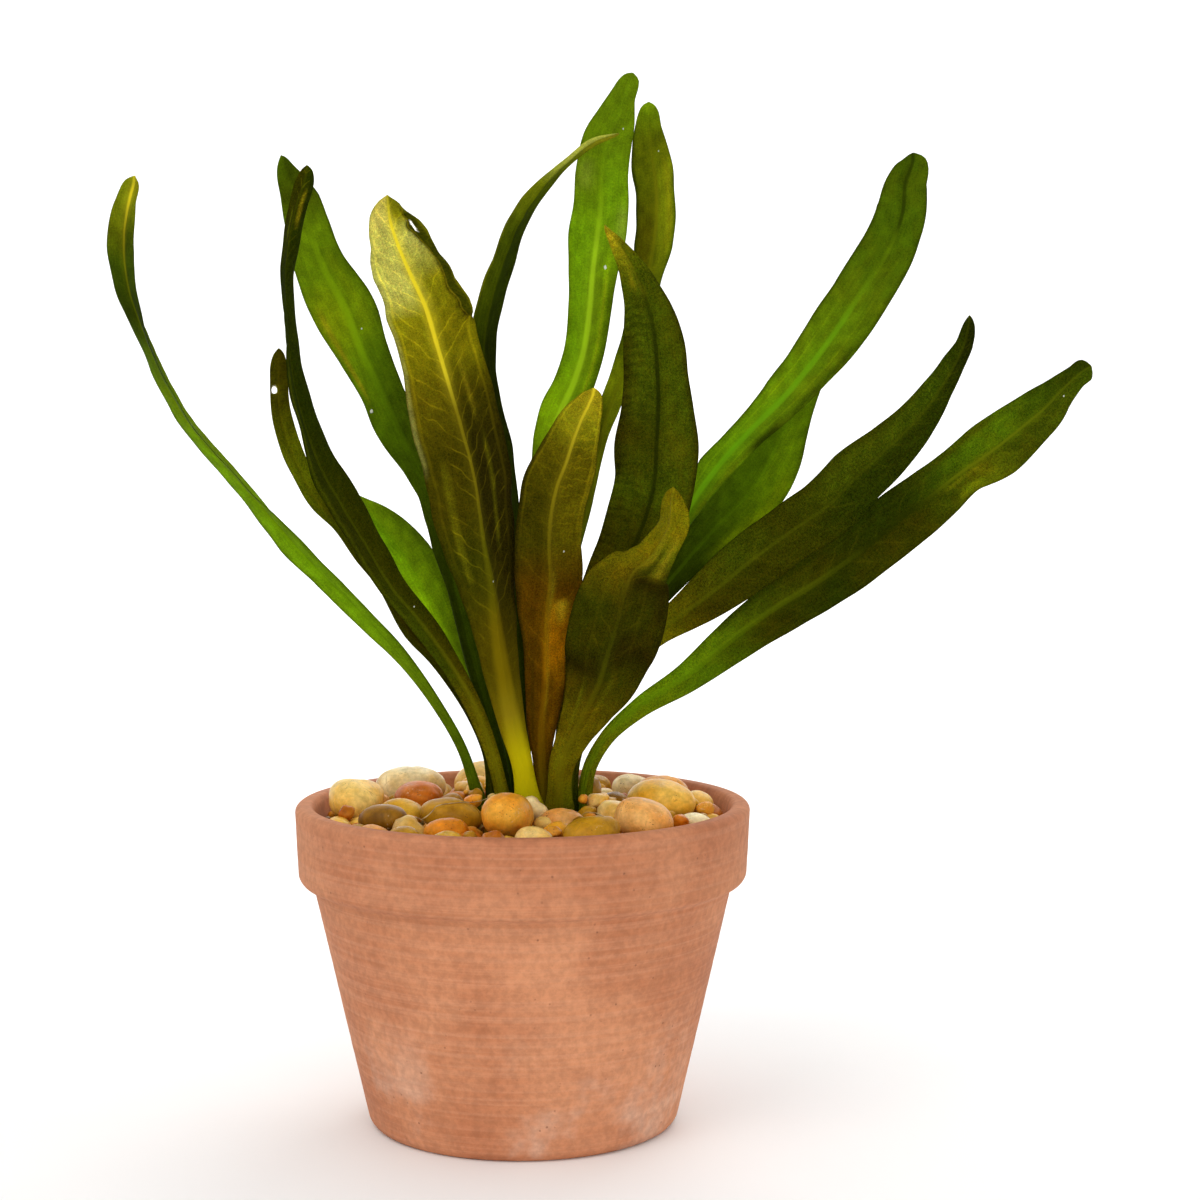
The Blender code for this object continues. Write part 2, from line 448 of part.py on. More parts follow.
def lay_pebbles():
    """Spread pebbles between the crown and the wall until no two outlines overlap.

    Seen from above, three circles along its length cover each pebble.
    """
    rng = np.random.default_rng(PEBBLE_SEED)
    small, large = PEBBLE_HALF_LENGTH
    rank = (np.arange(PEBBLES) + 0.5) / PEBBLES
    length = small + (large - small) * (1 - rank) ** PEBBLE_SIZE_FALL
    width = length * rng.uniform(*PEBBLE_WIDTH_SHARE, PEBBLES)
    height = np.minimum(width * rng.uniform(*PEBBLE_HEIGHT_SHARE, PEBBLES),
                        PEBBLE_HALF_HEIGHT_LIMIT)
    turn = rng.uniform(0, math.pi, PEBBLES)
    tilt = rng.uniform(-PEBBLE_TILT, PEBBLE_TILT, (PEBBLES, 2))
    bearing = GOLDEN_ANGLE * np.arange(PEBBLES)
    distance = rng.uniform(*PEBBLE_START_DISTANCE, PEBBLES)
    at = np.stack((np.cos(bearing), np.sin(bearing)), axis=1) * distance[:, None]

    owner = np.repeat(np.arange(PEBBLES), 3)
    side = np.tile((-1.0, 0.0, 1.0), PEBBLES)[:, None]
    along = np.stack((np.cos(turn), np.sin(turn)), axis=1)
    arms = along[owner] * (length - width)[owner][:, None] * side
    radius = width[owner]
    wall = inner_wall_radius(BED_TOP_HEIGHT) - PEBBLE_WALL_GAP
    keep_out = np.array(CROWN_CLEARANCE) * MM
    apart = radius[:, None] + radius[None, :] + PEBBLE_SPACING
    strangers = owner[:, None] != owner[None, :]
    for _ in range(PEBBLE_ROUNDS):
        centres = at[owner] + arms
        offset = centres[:, None] - centres[None, :]
        gap = np.maximum(np.linalg.norm(offset, axis=2), 0.001 * MM)
        short = np.where(strangers, np.maximum(apart - gap, 0.0), 0.0)
        push = (offset * (short / gap)[..., None]).sum(axis=1) * PEBBLE_PUSH
        out = np.linalg.norm(centres, axis=1)
        beyond = np.maximum(out + radius - wall, 0.0)
        push -= centres * (beyond / out * WALL_PUSH)[:, None]
        for x, y, clear in keep_out:
            offset = centres - (x, y)
            gap = np.linalg.norm(offset, axis=1)
            short = np.maximum(clear + radius + PEBBLE_SPACING - gap, 0.0)
            push += offset * (short / gap * CROWN_PUSH)[:, None]
        np.add.at(at, owner, push)

    centres = at[owner] + arms
    gap = np.linalg.norm(centres[:, None] - centres[None, :], axis=2)
    tight = np.where(strangers, (apart - gap) / apart, 0.0).max(axis=1)
    tight = np.maximum(tight, (np.linalg.norm(centres, axis=1) + radius - wall) / radius)
    for x, y, clear in keep_out:
        gap = np.linalg.norm(centres - (x, y), axis=1)
        tight = np.maximum(tight, (clear + radius - gap) / radius)
    scale = 1 - np.maximum(tight.reshape(PEBBLES, 3).max(axis=1), 0.0)
    return [dict(half=(length[i] * scale[i], width[i] * scale[i], height[i] * scale[i]),
                 turn=turn[i], at=at[i], tilt=tilt[i], seed=i) for i in range(PEBBLES)]


def build_pebble(number, pebble, collection):
    """An uneven rounded stone with its lowest point just off the bed."""
    bm = bmesh.new()
    bmesh.ops.create_icosphere(bm, subdivisions=2, radius=1.0)
    offset = Vector((pebble["seed"] * 3.7, 1.3, 9.1))
    for vert in bm.verts:
        swell = 1 - PEBBLE_HOLLOWS * (0.5 + 0.5 * noise.noise(vert.co * 1.1 + offset))
        blocky = [math.copysign(abs(part) ** PEBBLE_SQUARENESS, part) for part in vert.co]
        vert.co = Vector(blocky) * swell
    half = pebble["half"]
    tilt_x, tilt_y = (math.radians(angle) for angle in pebble["tilt"])
    turn = Euler((tilt_x, tilt_y, pebble["turn"])).to_matrix().to_4x4()
    shape = turn @ Matrix.Diagonal((half[0], half[1], half[2], 1.0))
    bmesh.ops.transform(bm, matrix=shape, verts=bm.verts)
    x, y = pebble["at"]
    lift = max(bed_height(x + vert.co.x, y + vert.co.y) - vert.co.z for vert in bm.verts)
    bmesh.ops.translate(bm, vec=(x, y, lift + GAP), verts=bm.verts)
    name = f"pebble_{number:02d}"
    colour = PEBBLE_COLOURS[number % len(PEBBLE_COLOURS)]
    return add_object(name, mesh_from(bm, name), (colour, 0.4, 0.0), collection, sharp=75)


def main():
    for existing in list(bpy.data.objects):
        bpy.data.objects.remove(existing)
    parts = bpy.data.collections.new("potted_echinodorus")
    cutters = bpy.data.collections.new("cutters")
    bpy.context.scene.collection.children.link(parts)
    bpy.context.scene.collection.children.link(cutters)
    build_pot(parts, cutters)
    build_bed(parts)
    build_crown(parts)
    for number, (leaf, colour) in enumerate(zip(LEAVES, LEAF_COLOURS), start=1):
        made = build_leaf(number, leaf, colour, parts)
        if number == 5:
            pierce(made, leaf, cutters)
    for number, pebble in enumerate(lay_pebbles(), start=1):
        build_pebble(number, pebble, parts)


main()
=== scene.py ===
"""Looks for the potted echinodorus: fine leaf blades, river pebbles, gravel and a terracotta pot.

Metres, +Z up. The plant is seen from the front along +Y, with +X to the right.
"""

import math
from contextlib import contextmanager

import bmesh
import bpy
import numpy as np
from mathutils import Euler, Matrix, Vector, noise
from mathutils.bvhtree import BVHTree


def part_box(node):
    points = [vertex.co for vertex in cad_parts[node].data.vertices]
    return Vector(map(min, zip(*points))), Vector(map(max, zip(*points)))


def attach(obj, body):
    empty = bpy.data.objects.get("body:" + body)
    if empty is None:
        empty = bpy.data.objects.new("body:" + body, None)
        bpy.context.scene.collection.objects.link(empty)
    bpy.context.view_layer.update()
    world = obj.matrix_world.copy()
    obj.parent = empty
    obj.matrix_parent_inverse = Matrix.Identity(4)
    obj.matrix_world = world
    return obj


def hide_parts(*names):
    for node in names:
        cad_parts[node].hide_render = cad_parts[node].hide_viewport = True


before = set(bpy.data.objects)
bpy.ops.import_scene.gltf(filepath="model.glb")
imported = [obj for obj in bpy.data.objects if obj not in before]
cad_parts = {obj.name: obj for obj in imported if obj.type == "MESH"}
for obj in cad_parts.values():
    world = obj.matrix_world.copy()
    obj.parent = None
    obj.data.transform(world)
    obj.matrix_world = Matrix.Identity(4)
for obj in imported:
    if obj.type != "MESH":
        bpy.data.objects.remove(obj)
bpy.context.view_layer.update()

MM = 0.001
LEAF_DATUM = 92 * MM                   # height in the scene of height 0 in the leaf tables
EYE = np.array((21, -650, 192)) * MM   # where the plant is looked at from
LOOK_AT = np.array((21, 0, 143)) * MM
SEEN_HEIGHT = 326 * MM                 # field of view at the crown
BED_TOP = 81.5 * MM
BED_RADIUS = 54.4 * MM
OVER_STONES = 0.12                     # rays down onto the stones start at this height

# Leaf colours as they look in soft daylight, linear red, green and blue
TONES = dict(
    gold=(0.415, 0.420, 0.115), khaki=(0.245, 0.236, 0.006), bright=(0.27, 0.41, 0.006),
    lime=(0.180, 0.31, 0.005), green=(0.142, 0.220, 0.004), mid=(0.090, 0.152, 0.003),
    deep=(0.053, 0.086, 0.002), dark=(0.027, 0.041, 0.001), ink=(0.017, 0.024, 0.001),
    olive=(0.115, 0.134, 0.003), moss=(0.175, 0.205, 0.005), sage=(0.205, 0.265, 0.004),
    fern=(0.062, 0.084, 0.002), loam=(0.046, 0.050, 0.001), drab=(0.096, 0.092, 0.002),
    tan=(0.185, 0.170, 0.003), brown=(0.128, 0.106, 0.002), umber=(0.064, 0.054, 0.001),
    bark=(0.029, 0.023, 0.001), clay=(0.250, 0.190, 0.003), rust=(0.115, 0.054, 0.001),
    amber=(0.38, 0.190, 0.002), yellow=(0.70, 0.62, 0.03), straw=(0.34, 0.28, 0.010),
    pale=(0.40, 0.56, 0.02), leek=(0.19, 0.40, 0.008), cream=(0.62, 0.57, 0.20),
    # the last tone below is the stalk colour of leaf 03, lightened with painted light
    sand=(0.36, 0.38, 0.07), stem=(0.60, 0.57, 0.006),
)

# Stone colours: the ground colour and the colour of its patches
STONES = (
    ((0.82, 0.46, 0.070), (0.88, 0.60, 0.17)), ((0.78, 0.25, 0.008), (0.84, 0.40, 0.04)),
    ((0.54, 0.25, 0.006), (0.68, 0.38, 0.030)), ((0.87, 0.60, 0.20), (0.78, 0.42, 0.06)),
    ((0.46, 0.10, 0.004), (0.66, 0.21, 0.010)), ((0.34, 0.15, 0.003), (0.52, 0.26, 0.012)),
    ((0.76, 0.36, 0.015), (0.84, 0.50, 0.08)), ((0.76, 0.31, 0.060), (0.84, 0.46, 0.14)),
    ((0.88, 0.73, 0.42), (0.78, 0.52, 0.18)), ((0.13, 0.050, 0.002), (0.34, 0.150, 0.006)),
    ((0.82, 0.37, 0.025), (0.70, 0.21, 0.008)), ((0.56, 0.28, 0.012), (0.42, 0.20, 0.006)),
    ((0.74, 0.55, 0.20), (0.86, 0.70, 0.36)),
)

# One entry a leaf. depth: distance behind the crown at the base and at the tip, and the bow
# between; petiole: share of the length that is stalk; fold: degrees each half is folded up;
# rows: place of the middle line to the right and up, width, and, where they aren't nought,
# twist and lean of the cross line in degrees; edges: height, then how far the left and the right
# margin stand out beyond that width.
LEAVES = (
    # 01, slim outer leaf, far left
    dict(depth=(-3, -38, -4), petiole=0.2, fold=14, rows=(
        (-11.5, -5.6, 3.2), (-17.2, 11.5, 2.8), (-23.2, 22, 3, 10), (-33, 35.5, 4.2, 20),
        (-43.4, 46.2, 6.8, 42), (-58.5, 61.2, 9.2, 48), (-67.5, 71.2, 9.8, 60),
        (-76, 81.2, 9.8, 75), (-92.3, 100.9, 10, 76), (-102.1, 121.2, 10.2, 75),
        (-106.9, 136.2, 10.4, 56), (-107.6, 148.8, 10.2, 45), (-105.6, 159, 7.8, 36),
        (-104.2, 163.4, 5, 30), (-103.9, 165.1, 2.4, 30)
    ), edges=(
        (52, 0, 0), (58, -0.6, 0), (66, 0.2, 0), (80, 0.2, 0), (88, 0.6, -0.2), (96, 0.5, 0),
        (104, 0, 0.2), (113, 0.4, 0), (120, 0, 0), (130, -0.3, 0), (145, 0.2, 0), (152, 0, -0.6),
        (158, -0.3, -1.0), (164, 0, -0.6)
    )),
    # 02, wide bright leaf, back left
    dict(depth=(-1, 30, 6), petiole=0.4, fold=10, rows=(
        (-4.4, -5.6, 3.2), (-6.5, 8, 3.4), (-13.5, 33.8, 4.2), (-19.5, 58.8, 4.6), (-23.1, 73, 4.8),
        (-28, 86.2, 8.8, -15), (-33.6, 97.5, 13.2, -12), (-38.2, 107.5, 13, -8), (-43.2, 118, 16),
        (-48.3, 130.5, 19.2, 6), (-53.9, 141.5, 16, 10), (-57.6, 152, 13.6, 10),
        (-60.8, 160.5, 9.9, 5), (-63.7, 167.2, 5.6), (-64.5, 170.5, 2)
    ), edges=(
        (55, 0, 0), (66, 1.4, 0), (74, 1.0, 0), (80, -0.3, 0), (95, 0, 0), (108, -0.6, 0),
        (118, -0.9, -0.3), (126, -0.3, -0.4), (134, 0, -1.1), (146, 0, -1.2), (153, -0.3, -0.2),
        (158, -0.5, 0.6), (166, -0.7, 0)
    )),
    # 03, broad golden leaf in front, its underside and midrib to the front
    dict(depth=(-9.5, -55, -4), petiole=0.13, fold=-14, rows=(
        (1.3, -5.6, 6), (-0.4, 6.2, 6), (-2.9, 16.2, 7.6, -5), (-5.4, 28.8, 9.9, -10),
        (-7.5, 41.2, 12.3, -15), (-9.3, 53.8, 16.6, -22), (-12.3, 68.8, 23.4, -27),
        (-14.5, 83.8, 25.3, -26), (-17.6, 97.5, 25.3, -20), (-20.2, 108.8, 23, -10),
        (-22.6, 118.8, 21.6), (-25.7, 130.8, 22.4, 10), (-29.8, 140, 19.7, 14),
        (-33, 147.5, 15.6, 15), (-35.2, 154.2, 10.6, 12), (-35.8, 157.8, 6.2, 5), (-36, 160, 1.6)
    ), edges=(
        (105, -0.2, 0), (114, -0.6, 0), (124, -0.4, 0), (129, 0.1, -0.2), (131.5, 0, -0.9),
        (134, -0.4, -1.3), (136.5, -0.5, -0.8), (139, -0.1, -0.8), (141, 0.5, -1.1),
        (145, 0.5, -0.4), (148, -0.2, 0.3), (151, 0.2, 0.3), (155, 0.5, -0.5), (158, 0, -0.6)
    )),
    # 04, dark leaf left of the middle, turned almost edge on
    dict(depth=(-6.5, -34, 0), petiole=0.12, fold=10, rows=(
        (-4.9, -5.6, 3.4), (-9, 10.5, 4, -10), (-14, 23, 5, -20), (-20, 34, 6.4, -30),
        (-27.5, 45, 8.8, -38), (-34.6, 53.8, 10.8, -50), (-41.9, 66.2, 13, -53),
        (-48.8, 78, 14, -53), (-53.8, 87, 13.8, -56), (-57.2, 96.5, 13.4, -66),
        (-60.9, 111, 13, -69), (-62.4, 126.5, 12, -77), (-62.9, 138, 11.6, -73),
        (-62, 147, 11, -68), (-60, 157, 9.4, -60), (-58, 163.8, 7, -48), (-57.3, 167.8, 2.4, -36)
    ), edges=(
        (50, 0, 0), (62, 0.3, 0.2), (78, 0.2, 0.5), (90, 0, 0.3), (115, 0, 0), (128, 0.2, 0),
        (140, 0.4, 0), (150, 0.4, 0), (156, 0, 0)
    )),
    # 05, small brown leaf behind leaf 04, with a pinhole
    dict(depth=(-2.5, -16, 0), petiole=0.25, fold=12, rows=(
        (-8.6, -5.6, 2.6), (-9.8, 8.8, 2.6), (-13.8, 19, 2.8, -10), (-18.5, 27, 3, -15),
        (-24, 34.5, 3.2, -20), (-30.4, 41.5, 3.6, -25), (-38.5, 56, 4, -32), (-44, 63.2, 4.4, -32),
        (-49.5, 71.5, 5, -32), (-55, 77.2, 5.8, -32), (-59.8, 86, 6.8, -38), (-62.4, 92, 7.4, -38),
        (-65.1, 101.5, 6.9, -40), (-65.6, 110, 6, -38), (-65.6, 116.2, 4.6, -34),
        (-65.4, 119, 1.8, -30)
    )),
    # 06, short bright leaf at the back left
    dict(depth=(4, 40, 4), petiole=0.25, fold=8, rows=(
        (-3.6, -5.6, 3), (-5, 8, 3.2), (-9.4, 20, 3.8), (-15, 31.5, 5.6), (-20.8, 42.5, 10),
        (-25.8, 52.5, 14.4), (-30.8, 60.8, 16, 5), (-35.3, 67.3, 13.8, 8), (-39.9, 72.8, 10, 8),
        (-43.8, 77, 4.8, 5), (-46.2, 79.8, 1.2)
    )),
    # 07, dark leaf seen edge on, arching over to the right
    dict(depth=(-2, -2, -6), petiole=0.3, fold=10, rows=(
        (0.2, -5.6, 3), (-0.4, 18, 3.2, 15), (-2, 45, 5, 30), (-3.6, 66, 7.4, 42),
        (-6.4, 89, 9.4, 52), (-9.3, 106, 10.8, 56), (-10.9, 120, 12.4, 56), (-8.9, 131.9, 12.4, 55),
        (-5.2, 143.2, 11.2, 59), (-0.9, 153.2, 9.8, 61), (5.5, 162.4, 8.2, 62),
        (12.3, 169, 5.8, 62), (19, 174.1, 4.8, 61), (26, 176.4, 1.2, 60)
    ), edges=(
        (55, 0, 0), (75, 0, 1.0), (92, 0, 1.3), (104, 0, 0.5), (112, 0, 0.2), (130, -0.4, 0.5),
        (142, -0.6, 0.6), (152, 0.5, 0.5), (158, 0.3, 0.2), (166, -0.5, 0), (174, -0.3, 0.3)
    )),
    # 08, tallest leaf, back middle
    dict(depth=(4, 45, 4), petiole=0.4, fold=8, rows=(
        (0.6, -5.6, 3.2), (0.6, 30, 3.4), (1, 58, 4), (2.8, 76, 5), (5.8, 87, 7.6, -5),
        (8.2, 95.5, 11.2, -8), (10.2, 101.5, 12.8, -8), (13.3, 108.4, 12, -4), (16.1, 116.5, 12),
        (18.2, 130, 13.2, 5), (19.1, 141, 15.4, 8), (20, 148, 17.4, 6), (21.2, 157, 16.6),
        (21.6, 167, 15.7, -5), (22.9, 174.5, 15, -6), (25.2, 180.2, 12.4, -4), (27.4, 186.4, 8.4),
        (28.8, 190, 6), (29.8, 192.3, 3)
    ), edges=(
        (90, 0, 0), (98, -0.2, 0.6), (110, -0.4, 0), (150, -0.5, -0.3), (165, -0.3, -0.2),
        (178, -0.5, -0.2), (186, -0.3, -0.8), (191, -0.2, 0.2)
    )),
    # 09, short brown leaf in the front middle
    dict(depth=(-6.5, -38, -4), petiole=0.14, fold=-12, rows=(
        (5.8, -5.6, 3.6), (5.1, 7, 5), (5.1, 16.5, 8.2), (5.9, 26.5, 10.6, -4), (6, 39, 12, -8),
        (6.3, 49, 15.8, -10), (7.1, 57, 18.6, -10), (6.9, 66.5, 17.8, -8), (7.8, 75.5, 17.4, -6),
        (9.2, 82, 18.1, -6), (11.5, 88, 16.7, -8), (13.5, 94, 13.8, -8), (15.9, 100, 10.8, -6),
        (18, 104, 7.6), (19.2, 107, 4.4), (19.4, 108.4, 2)
    )),
    # 10, tall leaf behind leaf 11
    dict(depth=(4.5, 58, 6), petiole=0.4, fold=10, rows=(
        (4.9, -5.6, 3), (6, 20, 3.2), (9.5, 45, 3.6), (14.6, 65, 4.2, 5), (18.6, 79, 4.8, 10),
        (20.5, 90, 5.2, 15), (22.8, 100.5, 6.6, 20), (26.3, 110, 7.8, 22), (29.9, 119.5, 8.6, 24),
        (32.4, 130.5, 8.8, 26), (34.4, 142, 10, 26), (35.8, 152.5, 12.4, 26),
        (35.7, 162.5, 12.6, 26), (34.6, 171.2, 12.6, 24), (34, 177.5, 9.6, 20),
        (34.1, 181.8, 6.6, 12), (34, 184.6, 3, 5)
    ), edges=(
        (55, 0, 0), (66, 0, -0.9), (80, 0, -1.6), (92, 0, -1.0), (102, 0, -0.4), (118, 0, -0.5),
        (136, 0, 0.2), (146, 0.2, 0.7), (158, 0.3, 0.3), (168, 0.2, -0.3), (178, -0.2, -0.6),
        (183, 0, -0.3)
    )),
    # 11, large dark leaf right of the middle
    dict(depth=(-4, -14, -6), petiole=0.2, fold=8, rows=(
        (9.4, -5.6, 3.6), (10.2, 8, 3.8), (12, 21.5, 4.6), (15.8, 36.5, 8), (20.8, 48.8, 13.4),
        (25.2, 56.5, 16.8), (29.7, 64.5, 19.3), (33.2, 73, 21.4), (35.6, 82.5, 21.9),
        (36.3, 93, 23.2), (36.7, 103, 20), (36.4, 112, 18, 5), (35.8, 120.5, 17, 8),
        (34.1, 129, 13.8, 10), (31.5, 136.2, 10.2, 15), (29.1, 141.6, 7.6, 20),
        (26.1, 146.6, 5, 25), (23.6, 150, 2.6, 25), (22.2, 152, 1, 25)
    ), edges=(
        (60, 0, 0.3), (72, -0.2, 0), (85, -0.4, -0.2), (97, -0.3, -0.4), (112, 0, -0.8),
        (125, 0, -0.5), (134, 0, -0.5), (142, 0, -0.4)
    )),
    # 12, wide brown leaf in front of leaf 11, its end folded in
    dict(depth=(-9.5, -48, -4), petiole=0.1, fold=-8, rows=(
        (9.8, -5.6, 5.6), (10.6, 6, 7), (13.9, 14, 9.6), (17.6, 21.5, 14), (21, 29, 19.8),
        (23.2, 36.5, 23.6), (25.5, 44, 24.8), (27.2, 50.5, 23.8, 2, 3), (28.7, 55.4, 21.4, 8, 12),
        (31, 58.8, 18, 20, 28), (33.8, 60.8, 15, 32, 38), (35.9, 62.6, 13.4, 42, 26),
        (37.8, 65.5, 12.6, 47, 18), (39.5, 68.4, 12.2, 48, 11), (40.7, 71.4, 11.2, 46, 2),
        (41, 74.5, 9.8, 44), (41, 77.3, 8.2, 42), (40.9, 80.3, 4, 38), (40.9, 81.6, 1.4, 32)
    )),
    # 13, long bright leaf, upper right
    dict(depth=(1, 28, 4), petiole=0.4, fold=8, rows=(
        (7.8, -5.6, 3.2), (9.6, 8, 3.4), (15, 24, 3.6), (23.8, 41.2, 4), (33.8, 57.5, 4.6),
        (42, 71.2, 5.8), (47.6, 80, 7.4), (54, 88.6, 9, 5), (61.4, 96.8, 10.2, 10),
        (70.6, 106, 12.4, 10), (77, 113.6, 14.8, 10), (84.6, 124, 16.8, 8), (92.8, 136.3, 17, 5),
        (99, 146.2, 15.8), (102.3, 155.5, 13.8, -5), (103, 163.5, 11.9, -5), (104.8, 168.8, 7.4),
        (104.9, 171.2, 3.4)
    ), edges=(
        (83, 0.2, 0), (86, 1.0, 0), (92, -0.2, 0), (100, -0.3, 0), (106, 0.2, -0.2),
        (112, -0.3, -0.3), (122, -0.4, 0), (132, -0.7, 0), (142, 0, -0.4), (150, 0.3, -0.6),
        (156, 0.7, -0.3), (164, -0.6, 0.2), (168.5, -0.6, 0.6)
    )),
    # 14, green leaf behind leaf 13
    dict(depth=(5, 42, 4), petiole=0.3, fold=8, rows=(
        (9.4, -5.6, 3.2), (12, 8, 3.4), (18.8, 25, 4), (28.4, 42, 5), (38.2, 54.2, 7.2),
        (46, 63.6, 10.2), (53.6, 72, 14), (61.3, 80.2, 17.4), (67.3, 89.8, 16.2), (71, 97.6, 12.6),
        (75.1, 104.5, 7.8), (79, 110.5, 4.2), (82.5, 114.5, 1.2)
    ), edges=(
        (70, 0, 0.2), (85, 0, 0.8), (96, 0, 0.7), (108, 0, 0.6)
    )),
    # 15, dark olive leaf, right
    dict(depth=(-2, -6, -2), petiole=0.25, fold=8, rows=(
        (12.6, -5.6, 3.6), (14, 8, 3.8), (19, 21.5, 4.4), (27.8, 33.6, 5.2), (37.2, 42.6, 7.4),
        (44.5, 47.8, 10.4), (51.7, 53.2, 13.6, -5), (62.5, 62, 16.2, -8), (73.8, 70.2, 16.6, -10),
        (83.6, 77.2, 17.2, -10), (91, 84.8, 16.4, -8), (98.1, 91.4, 15, -5), (106, 99.2, 11.7),
        (111.8, 106.6, 9.4, 5), (116.2, 113.9, 7, 8), (119.1, 120.2, 5.4, 10),
        (120.3, 125.2, 4.2, 10), (120.5, 127.9, 2, 10)
    ), edges=(
        (50, 0, 0), (60, -0.2, 0), (75, -0.4, 0), (84, 0.2, 0), (92, -0.7, 0), (98, -0.3, 0),
        (108, 0.2, -0.9), (115, 0.3, -0.6), (120, -0.4, -0.2), (124, -0.5, -0.4)
    )),
    # 16, outermost leaf, far right
    dict(depth=(0, 12, 2), petiole=0.25, fold=8, rows=(
        (15.8, -5.6, 3.4), (18, 6, 3.8), (22.6, 13.8, 4.2), (31.4, 21.9, 5.2), (44, 30, 7.8),
        (56.2, 39.8, 11.5, -5), (66.2, 47.2, 13.7, -8), (79.8, 55.7, 15.7, -10),
        (91.3, 63.7, 16.7, -10), (103.9, 73.9, 17.2, -8), (110.7, 79.2, 16.5, -5),
        (118, 85.1, 15.2), (126.2, 90.9, 17.2, 4), (135.5, 98.3, 15.2, 6), (141.3, 103.3, 13, 6),
        (146.2, 108.4, 8.4, 4), (149.6, 111.6, 6), (151.9, 113.4, 5.6), (153.5, 114.3, 3)
    ), edges=(
        (14, -0.5, 0.5), (24, -0.3, 0.8), (40, -0.6, 0.8), (50, -0.2, 0.7), (62, 0, 0.2),
        (72, 0, 0.1), (82, -0.2, -0.2), (86.5, 0, -1.0), (92, 0, 0.1), (100, 0, -0.3),
        (106, 0, -0.4), (112, 0.3, 0.4)
    )),
)
